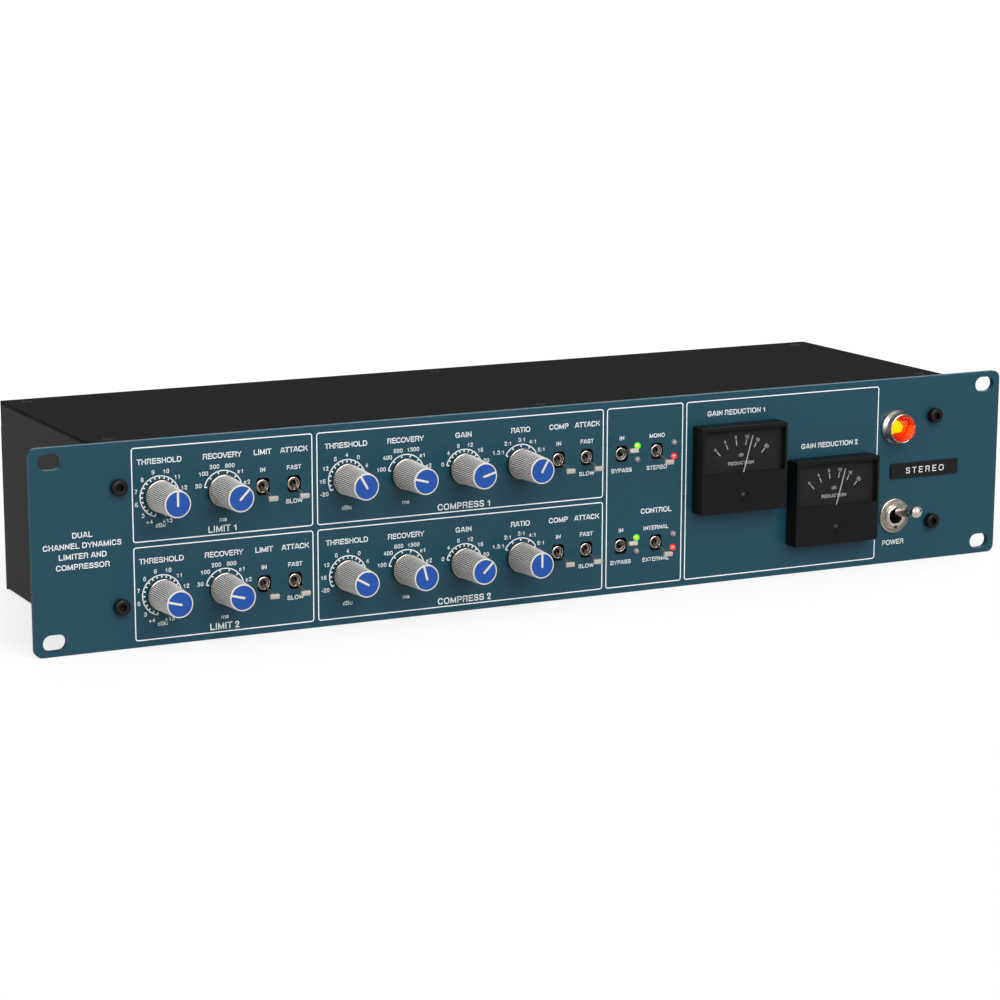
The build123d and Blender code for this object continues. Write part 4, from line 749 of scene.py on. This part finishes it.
def knob_meshes():
    """Fluted grip, turned skirt with its shaft, blue cap, and cream rim with the pointer line."""
    grip = bmesh.new()
    rings = [(SHAFT_R + 0.1, front(SKIRT_TOP)), (GRIP_BASE_R - 0.35, front(SKIRT_TOP))]
    length = KNOB_FRONT - SKIRT_TOP
    for share, depth, chamfer in ((0.02, 0.1, 0.12), (0.05, 1.0, 0), (0.30, 1.0, 0), (0.60, 1.0, 0),
                                  (0.90, 1.0, 0), (0.955, 0.9, 0), (0.975, 0.2, 0)):
        radius = GRIP_BASE_R + (GRIP_FRONT_R - GRIP_BASE_R) * share
        ring = fluted(radius - chamfer, FLUTE_DEPTH * depth)
        rings.append((ring, front(SKIRT_TOP + length * share)))
    rings.append((CAP_R - 0.1, rings[-1][1]))
    turned(grip, rings, steps=FLUTES * FLUTE_STEPS)
    # The groove bottoms take the second, darker material: painted shade.
    mark(grip, in_groove)

    skirt = bmesh.new()
    turned(skirt, [
        (0, SHAFT_END), (SHAFT_R - 0.2, SHAFT_END), (SHAFT_R, SHAFT_END - 0.2),
        *ahead((SHAFT_R, -0.05), (6.55, 0.0), (6.82, 0.1), (6.92, 0.3), base=KNOB_GAP),
        *ahead((6.92, -0.35), (6.82, -0.08), (6.5, 0.02), (SHAFT_R, 0.02), (0, 0.02), base=SKIRT_TOP),
    ], steps=ROUND_STEPS)

    cap = bmesh.new()
    turned(cap, ahead((CAP_R, -0.9), (CAP_R, -0.12), (CAP_R - 0.08, -0.06), (3.4, -0.04),
                      (1.6, -0.03), (0, -0.03), base=KNOB_FRONT), steps=ROUND_STEPS)

    rim = bmesh.new()
    turned(rim, ahead((CAP_R, -0.9), (CAP_R, -0.08), (CAP_R + 0.08, 0.0), (5.52, 0.0),
                      (5.68, -0.07), (5.78, -0.25), (5.80, -0.5), (5.6, -0.62),
                      (CAP_R, -0.9), base=KNOB_FRONT), steps=ROUND_STEPS)
    tail = [(-POINTER_HALF * cos(a), POINTER_ROUND * (1 - sin(a)) - POINTER_TAIL)
            for a in map(radians, range(0, 181, 30))]
    tip_z = CAP_R + 0.1
    left = [(-POINTER_HALF, tip_z)] + tail[:4]
    right = [(POINTER_HALF, tip_z)] + tail[:2:-1]
    band(rim, left, right, front(KNOB_FRONT), front(KNOB_FRONT - 0.5))
    return grip, skirt, cap, rim


knob_spots = [
    (f"knob_{knob}_{channel + 1}", at(x, 0.0, row, about_y=angles[channel]))
    for knob, (x, angles) in KNOBS.items() for channel, row in enumerate(ROW_Z)
]
grip_bm, skirt_bm, cap_bm, rim_bm = knob_meshes()
grips = copies(grip_bm, "grip", [KNOB_GREY, KNOB_GROOVE_SHADE], knob_spots)
for grip, (body, _) in zip(grips, knob_spots):
    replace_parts(grip, body)
# The skirts' metal carries a painted reflection in its warm tone.
copies(skirt_bm, "skirt", [SKIRT_TINTED_REFLECTION], knob_spots)
copies(cap_bm, "cap", [BLUE], knob_spots)
copies(rim_bm, "rim", [CREAM], knob_spots)


# ---- Toggle switches ----
PIVOT_Y = 1.3
LEVER_R = 0.62
TOGGLE_TILT = 12.0
PADDLE_SIZE = (4.3, 1.6, 2.0)
PADDLE_START = 15.1
PADDLE_TAPER = 0.04
LIP = PANEL_FACE + 0.32
BUSHING_END = 0.9
HOLE = (3.15, 3.8, 1.8)
HOLE_SHADE_INNER = (3.0, 3.65, 1.66)

# Lever's name, its x and z, and the way it leans at rest: 1 is up, -1 is down.
toggles = []
for channel, row in enumerate(ROW_Z):
    for base_name, x in TOGGLE_X.items():
        toggles.append((f"{base_name}_{channel + 1}", x, row, -1))
    toggles.append((f"bypass_{channel + 1}", BYPASS_X, row, 1))
toggles.append(("stereo_link", LINK_X, ROW_Z[0], -1))
toggles.append(("control_source", LINK_X, ROW_Z[1], -1))

lever_bm = bmesh.new()
turned(lever_bm, [
    (0, 2.0), (0.5, 1.95), (LEVER_R, 1.8), (LEVER_R, 1.5), (1.2, 1.1), (1.6, 0.5), (1.7, 0.0),
    (1.6, -0.5), (1.25, -1.1), (0.8, -1.5), (LEVER_R + 0.05, -1.8), (LEVER_R, -2.4),
    (LEVER_R - 0.04, -PADDLE_START - 1.1), (0, -PADDLE_START - 1.1),
], steps=32)
paddle_bm = bmesh.new()
block(paddle_bm, PADDLE_SIZE, (0, -PADDLE_START - PADDLE_SIZE[1] / 2, 0), 0.28, 3)
for v in paddle_bm.verts:
    towards_tip = (-PADDLE_START - v.co.y) / PADDLE_SIZE[1]
    v.co.x *= 1 - PADDLE_TAPER + PADDLE_TAPER * towards_tip
    v.co.z *= 1 - PADDLE_TAPER + PADDLE_TAPER * towards_tip
lever_spots = [(f"lever_{name}", at(x, PIVOT_Y, z, about_x=-TOGGLE_TILT * lean))
               for name, x, z, lean in toggles]
stems = copies(lever_bm, "stem", [LEVER], lever_spots)
for stem, (body, _) in zip(stems, lever_spots):
    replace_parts(stem, body)
copies(paddle_bm, "paddle", [PADDLE], lever_spots)

bushings = bmesh.new()
seats = bmesh.new()
# Thin black sleeves on the walls of the toggles' panel holes: painted shade that makes each hole read
# black.
hole_shades = bmesh.new()
bush_rings = [(2.34, -0.6), (2.34, LIP + 0.14), (2.40, LIP + 0.04), (2.48, LIP), (2.62, LIP),
              (2.74, LIP + 0.08), (2.80, LIP + 0.24)]
for i in range(4):
    bush_rings += [(2.80, LIP + 0.42 + 0.5 * i), (2.66, LIP + 0.62 + 0.5 * i)]
bush_rings += [(2.7, BUSHING_END), (2.34, BUSHING_END), (2.34, -0.6)]
seat_rings = [(2.36, -1.0), (2.36, -2.0), (2.0, -2.1), (1.5, -1.7), (1.42, -1.4), (1.5, -1.0),
              (2.36, -1.0)]
for _, x, z, _ in toggles:
    turned(bushings, bush_rings, steps=40, centre=(x, z))
    turned(seats, seat_rings, steps=32, centre=(x, z))
    hole, inside = (rounded_box_line(x - half_x, x + half_x, z - half_z, z + half_z, radius)
                    for half_x, half_z, radius in (HOLE, HOLE_SHADE_INNER))
    band(hole_shades, hole, inside, PANEL_FACE - 0.05, 0.0, closed=True)
piece("toggle_bushings", bushings, "root", [BRIGHT])
piece("toggle_lever_seats", seats, "root", [SEAT])
piece("toggle_hole_painted_shade", hole_shades, "root", [SWITCH_BLACK])


# ---- Status lamps ----
LED_R = 1.5
LED_RINGS = [
    (0, 1.6), (LED_R + 0.3, 1.6), (LED_R + 0.4, 1.5), (LED_R + 0.4, 0.5), (LED_R + 0.3, 0.4),
    (LED_R, 0.4),
    *ahead(*((LED_R * cos(a), LED_R * sin(a)) for a in map(radians, range(0, 90, 10))), (0, LED_R)),
]
LIT = {(0, "upper"): GREEN_LIT, (1, "lower"): RED_LIT}
for column, x in enumerate(LED_X):
    for channel, row in enumerate(ROW_Z):
        for side, name in ((1, "upper"), (-1, "lower")):
            bm = bmesh.new()
            turned(bm, LED_RINGS, steps=48, centre=(x, row + side * LED_STEP))
            made = piece(f"led_{column + 1}_{channel + 1}_{name}", bm, "root",
                         [LIT.get((column, name), UNLIT)])
            if (column, channel, side) == (0, 0, 1):
                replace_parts(made, "status_leds")


# ---- Meters ----
PIVOT_DROP = 5.5
DIAL_PRINT = surface("dial_print", (0.27, 0.27, 0.27), 0.5, mottle=0.06, patch=0.6, grain=0.003,
                     grain_size=0.2)
ZERO_BLACK = surface("zero_screw_black", (0.0018, 0.0018, 0.0018), 0.34, mottle=0.2, grain=0.002,
                     grain_size=0.3, specular=0.11)
FIRST_MARK = -43
MARK_STEP = 17.2
MARK_R = (16.1, 18.6)
MARK_NUMBER_R = 19.95
MARK_CAP = 1.5
on_dial = print_on(DIAL_FACE)
meter_print = bmesh.new()
for cx, cz in METERS:
    pivot = (cx, cz - PIVOT_DROP)
    for i, text in enumerate(("0", "4", "8", "12", "16", "20")):
        degrees = FIRST_MARK + MARK_STEP * i
        tick(meter_print, pivot, *MARK_R, degrees, 0.36, on_dial)
        lettering(meter_print, text, *polar(pivot, MARK_NUMBER_R, degrees), MARK_CAP, turn=degrees,
                  layer=on_dial, weight=0.8)
    lettering(meter_print, "dB", cx, cz + 5.95, 1.4, layer=on_dial, weight=0.8)
    lettering(meter_print, "REDUCTION", cx, cz + 2.2, MARK_CAP, layer=on_dial, spacing=0.08)
piece("meter_scales", meter_print, "root", [DIAL_PRINT])

NEEDLE_ANGLE = 15.5
NEEDLE_Y = PANEL_FACE - 5.7
for number, (cx, cz) in enumerate(METERS):
    pointer = bmesh.new()
    outline = [(0.42, -5.0), (0.26, -2.0), (0.19, 2.0), (0.16, 12.0), (0.14, 20.9)]
    band(pointer, [(-x, z) for x, z in outline], outline, NEEDLE_Y - 0.4, NEEDLE_Y)
    turned(pointer, [(radius, NEEDLE_Y + y) for radius, y in (
        (0, -0.55), (1.4, -0.55), (1.9, -0.45), (2.0, 0.0), (0.9, 0.1), (0.9, 3.0), (0, 3.0),
    )], steps=40)
    body = f"needle_{number + 1}"
    place = at(cx, 0.0, cz - PIVOT_DROP, about_y=NEEDLE_ANGLE)
    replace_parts(piece(f"{body}_pointer", pointer, body, [NEEDLE], place), body)


ZERO_DROP = 12.8
ZERO_R = 2.15
ZERO_SLOT_HALF = 0.28
ZERO_SLOT_DEPTH = 0.35
ZERO_SLOT_TURN = 0.9


def slotted(share):
    """Ring of a domed screw head, cut by a narrow slot, at a share of its radius."""
    radius = ZERO_R * share
    height = 0.55 * (1 - share ** 2) - 0.1

    def at_angle(angle):
        in_slot = abs(radius * sin(angle - ZERO_SLOT_TURN)) < ZERO_SLOT_HALF
        return CASE_FACE - height + (ZERO_SLOT_DEPTH if in_slot else 0.0)
    return radius, at_angle


for number, (cx, cz) in enumerate(METERS):
    screw = bmesh.new()
    stem = [(radius, CASE_FACE + y) for radius, y in (
        (0, 1.9), (2.9, 1.9), (2.9, 1.5), (ZERO_R, 1.4), (ZERO_R, 0.15))]
    dome = [slotted(share) for share in (0.97, 0.9, 0.8, 0.65, 0.5, 0.35, 0.2, 0.1)]
    turned(screw, stem + dome + [(0, CASE_FACE - 0.1)], steps=72)
    body = f"zero_screw_{number + 1}"
    place = at(cx, 0.0, cz - ZERO_DROP)
    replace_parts(piece(f"{body}_head", screw, body, [ZERO_BLACK], place), body)


# ---- Pilot lamp ----
bezel = bmesh.new()
turned(bezel, [
    (5.0, 6.0), (5.85, 6.0), (5.85, -2.8),
    *ahead((8.1, 0.0), (8.25, 0.15), (8.3, 0.5), (8.25, 0.95), (8.1, 1.2), (7.75, 1.7),
           (7.4, 2.25), (7.1, 2.75), (6.98, 3.1), (6.95, 3.6), (6.92, 4.9), (6.88, 5.5),
           (6.78, 5.78), (6.6, 5.9), (6.4, 5.82), (6.28, 5.6), (6.25, 1.0), (5.0, 0.8)),
    (5.0, 6.0),
], steps=ROUND_STEPS, centre=LAMP)
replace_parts(piece("lamp_bezel_ring", bezel, "root", [BEZEL]), "lamp_bezel")

BULB_R = 2.8
BULB_Y = -3.5
bulb = bmesh.new()
turned(bulb, [(0, 6.2), (2.4, 6.2), (2.4, 2.0), (2.1, 1.6), (2.1, 0.8), (0, 0.8)], steps=40,
       centre=LAMP, mat=1)
globe = [(BULB_R * sin(a), BULB_Y + BULB_R * cos(a)) for a in map(radians, range(40, 176, 15))]
turned(bulb, [(0, 0.9), (1.5, 0.8), *globe, (0, BULB_Y - BULB_R)], steps=40, centre=LAMP)
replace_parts(piece("lamp_bulb_lit", bulb, "root", [BULB, BRIGHT]), "lamp_bulb")
cup = bmesh.new()
turned(cup, [
    (2.5, 0.6), *ahead((3.4, -2.2), (4.4, -1.0), (5.2, 0.5), (5.6, 0.9), (5.9, 0.9), (5.7, -1.0)),
    (4.6, -0.2), (2.5, 0.6),
], steps=64, centre=LAMP)
piece("lamp_reflector_cup", cup, "root", [REFLECTOR])

RIBS = 18
RIB_STEPS = 6
JEWEL_R = 6.15
JEWEL_RIM = 6.1
JEWEL_DOME = 4.0


def ribbed(radius, depth, phase=0.0):
    """Radius of a ring pressed into facets."""
    def at_angle(angle):
        turn = (angle * RIBS / (2 * pi) + phase) % 1.0
        return radius - depth * abs(2 * turn - 1)
    return at_angle


jewel = bmesh.new()
outside = ahead((JEWEL_R - 0.03, 1.0), (JEWEL_R, 3.6), (JEWEL_R, 6.0))
outside += ahead(*((JEWEL_R * cos(a), JEWEL_DOME * sin(a)) for a in map(radians, range(8, 90, 9))),
                 base=JEWEL_RIM)
inside = ahead((ribbed(1.5, 0.3), 6.5), (ribbed(2.8, 0.5, 0.5), 6.0), (ribbed(3.9, 0.6), 5.2),
               (ribbed(4.7, 0.7, 0.5), 4.0), (ribbed(5.3, 0.7), 2.6), (ribbed(5.5, 0.7, 0.5), 1.0))
for rings in (outside + ahead((0, JEWEL_RIM + JEWEL_DOME)), ahead((0, 6.7)) + inside,
              [inside[-1], outside[0]]):
    turned(jewel, rings, steps=RIBS * RIB_STEPS, centre=LAMP)
bmesh.ops.remove_doubles(jewel, verts=jewel.verts, dist=0.0001)
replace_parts(piece("lamp_jewel_glass", jewel, "root", [JEWEL], sharp=20), "lamp_jewel")


# ---- Power switch ----
BUSH_R = 5.9
WASHER_BAND_R = 7.85
MOUTH_R = 4.6
SERRATIONS = 48
SERRATION_STEPS = 6


def serrated(low, high):
    """The y of a ring cut with radial notches between two heights."""
    def at_angle(angle):
        turn = (angle * SERRATIONS / (2 * pi)) % 1.0
        return front(low + (high - low) * min(1.0, 2.2 * abs(2 * turn - 1)))
    return at_angle


def beyond(radius):
    """Test that a point is further than this from the power switch's axis."""
    return lambda x, y, z: hypot(x - POWER[0], z - POWER[1]) > radius


washer = bmesh.new()
turned(washer, [
    *ahead((BUSH_R - 0.1, 0.0), (8.1, 0.0), (8.2, 0.12), (8.22, 0.7), (8.14, 0.98), (7.98, 1.16),
           (7.86, 1.2)),
    (7.75, serrated(0.55, 1.25)), (7.2, serrated(0.60, 1.34)), (6.5, serrated(0.70, 1.40)),
    *ahead((6.35, 1.40), (BUSH_R - 0.1, 1.42), (BUSH_R - 0.1, 0.0)),
], steps=SERRATIONS * SERRATION_STEPS, centre=POWER)
mark(washer, beyond(WASHER_BAND_R))
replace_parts(piece("power_switch_washer", washer, "root", [WASHER, BEZEL]),
            "power_switch_ring")

bush = bmesh.new()
rings = [(3.5, 0.9), *ahead((3.5, 1.9), (3.62, 2.2), (3.85, 2.42), (4.2, 2.46), (4.7, 2.25),
                            (5.2, 1.92), (5.72, 1.5))]
for i in range(7):
    rings += ahead((5.78, 1.34 - 0.55 * i), (5.62, 1.06 - 0.55 * i))
rings += [(5.7, 0.9), (3.5, 0.9)]
turned(bush, rings, steps=72, centre=POWER)
mark(bush, beyond(MOUTH_R))
piece("power_switch_bushing", bush, "root", [CHROME, WASHER])
notch = bmesh.new()
block(notch, (1.7, 1.2, 2.3), (POWER[0], front(1.7), POWER[1] - 4.85), 0.15)
piece("power_switch_keyway", notch, "root", [SWITCH_BLACK])

POWER_PIVOT_Y = 1.2
POWER_TILT = 12.5
BAT_LENGTH = 23.0
TIP_R = 2.95
bat = bmesh.new()
ball = [(TIP_R * cos(a), -BAT_LENGTH - TIP_R * sin(a)) for a in map(radians, range(0, 90, 10))]
turned(bat, [
    (0, 4.4), (1.3, 4.3), (1.5, 4.0), (1.55, 2.6), (2.5, 1.4), (2.9, 0.0), (2.5, -1.5),
    (1.95, -2.7), (1.8, -4.0), (1.85, -7.0), (1.98, -10.0), (2.15, -13.0), (2.38, -16.0),
    (2.62, -19.0), (2.84, -21.4), *ball, (0, -BAT_LENGTH - TIP_R),
], steps=64)
lever = piece("power_lever_bat", bat, "power_lever", [CHROME],
              at(POWER[0], POWER_PIVOT_Y, POWER[1], about_x=-POWER_TILT))
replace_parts(lever, "power_lever")


# ---- Panel screws ----
KNURLS = 36
KNURL_STEPS = 6
KNURL_DEPTH = 0.20
HEX_R = 1.73
HEX_MOUTH = 3.5


def knurled(radius):
    """Radius of a ring with fine knurling."""
    return lambda angle: radius - KNURL_DEPTH * (0.5 - 0.5 * cos(KNURLS * angle))


def hexagon(angle):
    """Radius of the socket's six flats."""
    sector = (angle + pi / 6) % (pi / 3) - pi / 6
    return HEX_R * cos(pi / 6) / cos(sector)


def in_socket(x, y, z):
    """True inside a screw's hexagon socket, which takes the near-black painted shade."""
    reach = min(hypot(x - cx, z - cz) for cx, cz in PANEL_SCREWS)
    return reach < HEX_R and y > front(HEX_MOUTH)


heads = bmesh.new()
for spot in PANEL_SCREWS:
    turned(heads, [
        (2.0, 0.5),
        *ahead((2.0, -0.2), (3.3, 0.0), (knurled(3.45), 0.2), (knurled(3.5), 0.4),
               (knurled(3.5), 2.7), (3.42, 3.1), (3.25, 3.45), (2.95, 3.6), (2.2, 3.6),
               (hexagon, HEX_MOUTH), (hexagon, 1.6), (0, 1.2)),
    ], steps=KNURLS * KNURL_STEPS, centre=spot)
# Socket faces take the second, near-black material: painted shade.
mark(heads, in_socket)
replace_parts(piece("panel_screw_heads", heads, "root", [SCREW_BLACK, SOCKET_SHADE],
                  sharp=40), "panel_screws")


# ---- Finishes of the CAD nodes that show as they are ----
def paint(name, mat, *regions):
    """Gives a CAD node its material, and others to the faces that a test on (x, y, z) picks."""
    mesh = nodes[name].data
    mesh.materials.clear()
    mesh.materials.append(mat)
    for other, _ in regions:
        mesh.materials.append(other)
    for face in mesh.polygons:
        spot = face.center / MM
        face.material_index = 0
        for index, (_, test) in enumerate(regions):
            if test(spot.x, spot.y, spot.z):
                face.material_index = index + 1


PIN_SPOTS = ((3.55, 2.05), (-3.55, 2.05), (0.0, -4.1))
PIN_REACH = 1.3
CASE_WALL = 1.4
CASE_HALF = (22.2, 19.8)


def on_pin(x, y, z):
    """True on the three pins inside a connector's cup."""
    near = any(hypot(x - cx - px, z - pz) < PIN_REACH for cx in XLR_X for px, pz in PIN_SPOTS)
    return near and REAR_FACE - 13.9 < y < REAR_FACE - 0.3


def on_blade(x, y, z):
    """True on the three blades inside the mains inlet."""
    return (abs(x - INLET_X) < 8.1 and -10 < z < -1.8
            and REAR_FACE - 14.4 < y < REAR_FACE - 1.0)


def inside_case(x, y, z):
    """True on the side walls in a meter case, behind its front wall; they take the dial's lighter colour,
    painted light that hides their shade.
    """
    near = any(abs(x - cx) < CASE_HALF[0] and abs(z - cz) < CASE_HALF[1] for cx, cz in METERS)
    return near and CASE_FACE + CASE_WALL < y < DIAL_FACE


for finish, names in (
    (BADGE_BLACK, "badge_plate"),
    (BLACK_PAINT, "chassis_tray rear_panel"),
    # Top cover: its own black, tuned as painted shade on the top.
    (COVER_TOP_SHADE, "top_cover"),
    (COVER_SCREW, "cover_screws"),
    (SCREW_BLACK, "pan_screws"),
    (STEEL, "potentiometers rotary_switches meter_movements audio_transformers"),
    (SWITCH_BLACK, "toggle_switches"),
    (BOARD, "control_board main_board"),
    (PANE, "meter_windows"),
    (DIAL_SLATE, "meter_dials"),
    (CONNECTOR, "xlr_inputs fuse_drawer"),
    (COMPONENT, "board_components power_transformer"),
):
    for name in names.split():
        paint(name, finish)
# The panel's side faces and hole walls get the lighter edge paint: a painted highlight.
paint("front_panel", TEAL, (TEAL_EDGE_HIGHLIGHT, lambda x, y, z: PANEL_FACE + 0.2 < y < -0.2))
# The case's inner side walls take the dial's colour: painted light that hides their shade.
paint("meter_cases", PLASTIC_BLACK, (DIAL_SLATE, inside_case))
paint("power_switch_body", SWITCH_BLACK, (WASHER, lambda x, y, z: y < PANEL_FACE - 0.3))
paint("xlr_outputs", CONNECTOR, (GOLD, on_pin))
paint("sidechain_jacks", SWITCH_BLACK, (BRIGHT, lambda x, y, z: y > REAR_FACE - 0.1))
paint("mains_inlet", CONNECTOR, (BRIGHT, on_blade))


# ---- Labels on the rear panel ----
REAR_CAP = 2.3
rear_print = bmesh.new()
for words, x, z in (
    *((words, x, 19.5) for words, x in zip(("INPUT 1", "OUTPUT 1", "INPUT 2", "OUTPUT 2"), XLR_X)),
    *((words, x, 11.5) for words, x in zip(("LINK 1", "LINK 2"), JACK_X)),
    ("MAINS", INLET_X, 22.5),
):
    lettering(rear_print, words, x, z, REAR_CAP, layer=print_on(REAR_FACE, 1))
piece("rear_labels", rear_print, "root", [INK])


# ---- Floor, light and camera ----
FLOOR_HALF = 40.0
floor_bm = bmesh.new()
bmesh.ops.create_grid(floor_bm, x_segments=4, y_segments=4, size=FLOOR_HALF)
floor_mesh = bpy.data.meshes.new("studio_floor")
floor_bm.to_mesh(floor_mesh)
floor_bm.free()
floor_mesh.materials.append(surface(
    "studio_paper", (0.12, 0.12, 0.12), 0.9, mottle=0.01, patch=300.0, grain=0.01, grain_size=2.0,
    specular=0.1, Emission_Color=(1, 1, 1, 1), Emission_Strength=0.72))
floor_obj = bpy.data.objects.new("studio_floor", floor_mesh)
floor_obj.location.z = cad_box[0].z
scene.collection.objects.link(floor_obj)

# Colour sockets of a Mix node, which share their names with its number and vector sockets.
MIX_A, MIX_B, MIX_RESULT = 6, 7, 2
world = bpy.data.worlds.new("studio")
scene.world = world
world.use_nodes = True
sky = world.node_tree
backdrop = sky.nodes["Background"]
where = sky.nodes.new("ShaderNodeTexCoord")
split = sky.nodes.new("ShaderNodeSeparateXYZ")
ramp = sky.nodes.new("ShaderNodeValToRGB")
sky.links.new(where.outputs["Generated"], split.inputs["Vector"])
sky.links.new(split.outputs["Z"], ramp.inputs["Fac"])
set_ramp(ramp, (0.02, (0.09, 0.078, 0.07)), (0.85, (0.55, 0.55, 0.55)))
camera_ray = sky.nodes.new("ShaderNodeLightPath")
pale = sky.nodes.new("ShaderNodeMix")
pale.data_type = "RGBA"
sky.links.new(camera_ray.outputs["Is Camera Ray"], pale.inputs["Factor"])
sky.links.new(ramp.outputs["Color"], pale.inputs[MIX_A])
pale.inputs[MIX_B].default_value = (0.95, 0.95, 0.95, 1)
sky.links.new(pale.outputs[MIX_RESULT], backdrop.inputs["Color"])


def sun(name, strength, spread_angle, azimuth, elevation):
    """Soft light from far away, from an azimuth (0 is the front, 90 the right) and an elevation."""
    lamp = bpy.data.lights.new(name, "SUN")
    lamp.energy = strength
    lamp.angle = radians(spread_angle)
    obj = bpy.data.objects.new(name, lamp)
    a, e = radians(azimuth), radians(elevation)
    towards = Vector((sin(a) * cos(e), -cos(a) * cos(e), sin(e)))
    obj.rotation_mode = "QUATERNION"
    obj.rotation_quaternion = towards.to_track_quat("Z", "Y")
    scene.collection.objects.link(obj)


sun("key_light", 7.2, 55, 2, 33)
sun("side_light", 3.0, 60, -80, 22)
sun("top_light", 0.8, 90, 20, 80)
sun("back_light", 2.4, 80, 140, 20)

# Lens, shift, place and turn of the camera that was fitted to the photograph.
camera = bpy.data.cameras.new("camera")
camera.sensor_width = 36.0
camera.lens = 105.66
camera.shift_x = 0.0440
camera.shift_y = 0.06975
camera.clip_start = 0.05
camera.clip_end = 100
camera_obj = bpy.data.objects.new("camera", camera)
camera_obj.location = Vector((-600.28, -1137.36, 254.70)) * MM
camera_obj.rotation_euler = (radians(77.501), radians(0.072), radians(-25.986))
scene.collection.objects.link(camera_obj)
scene.camera = camera_obj
scene.view_settings.view_transform = "Standard"
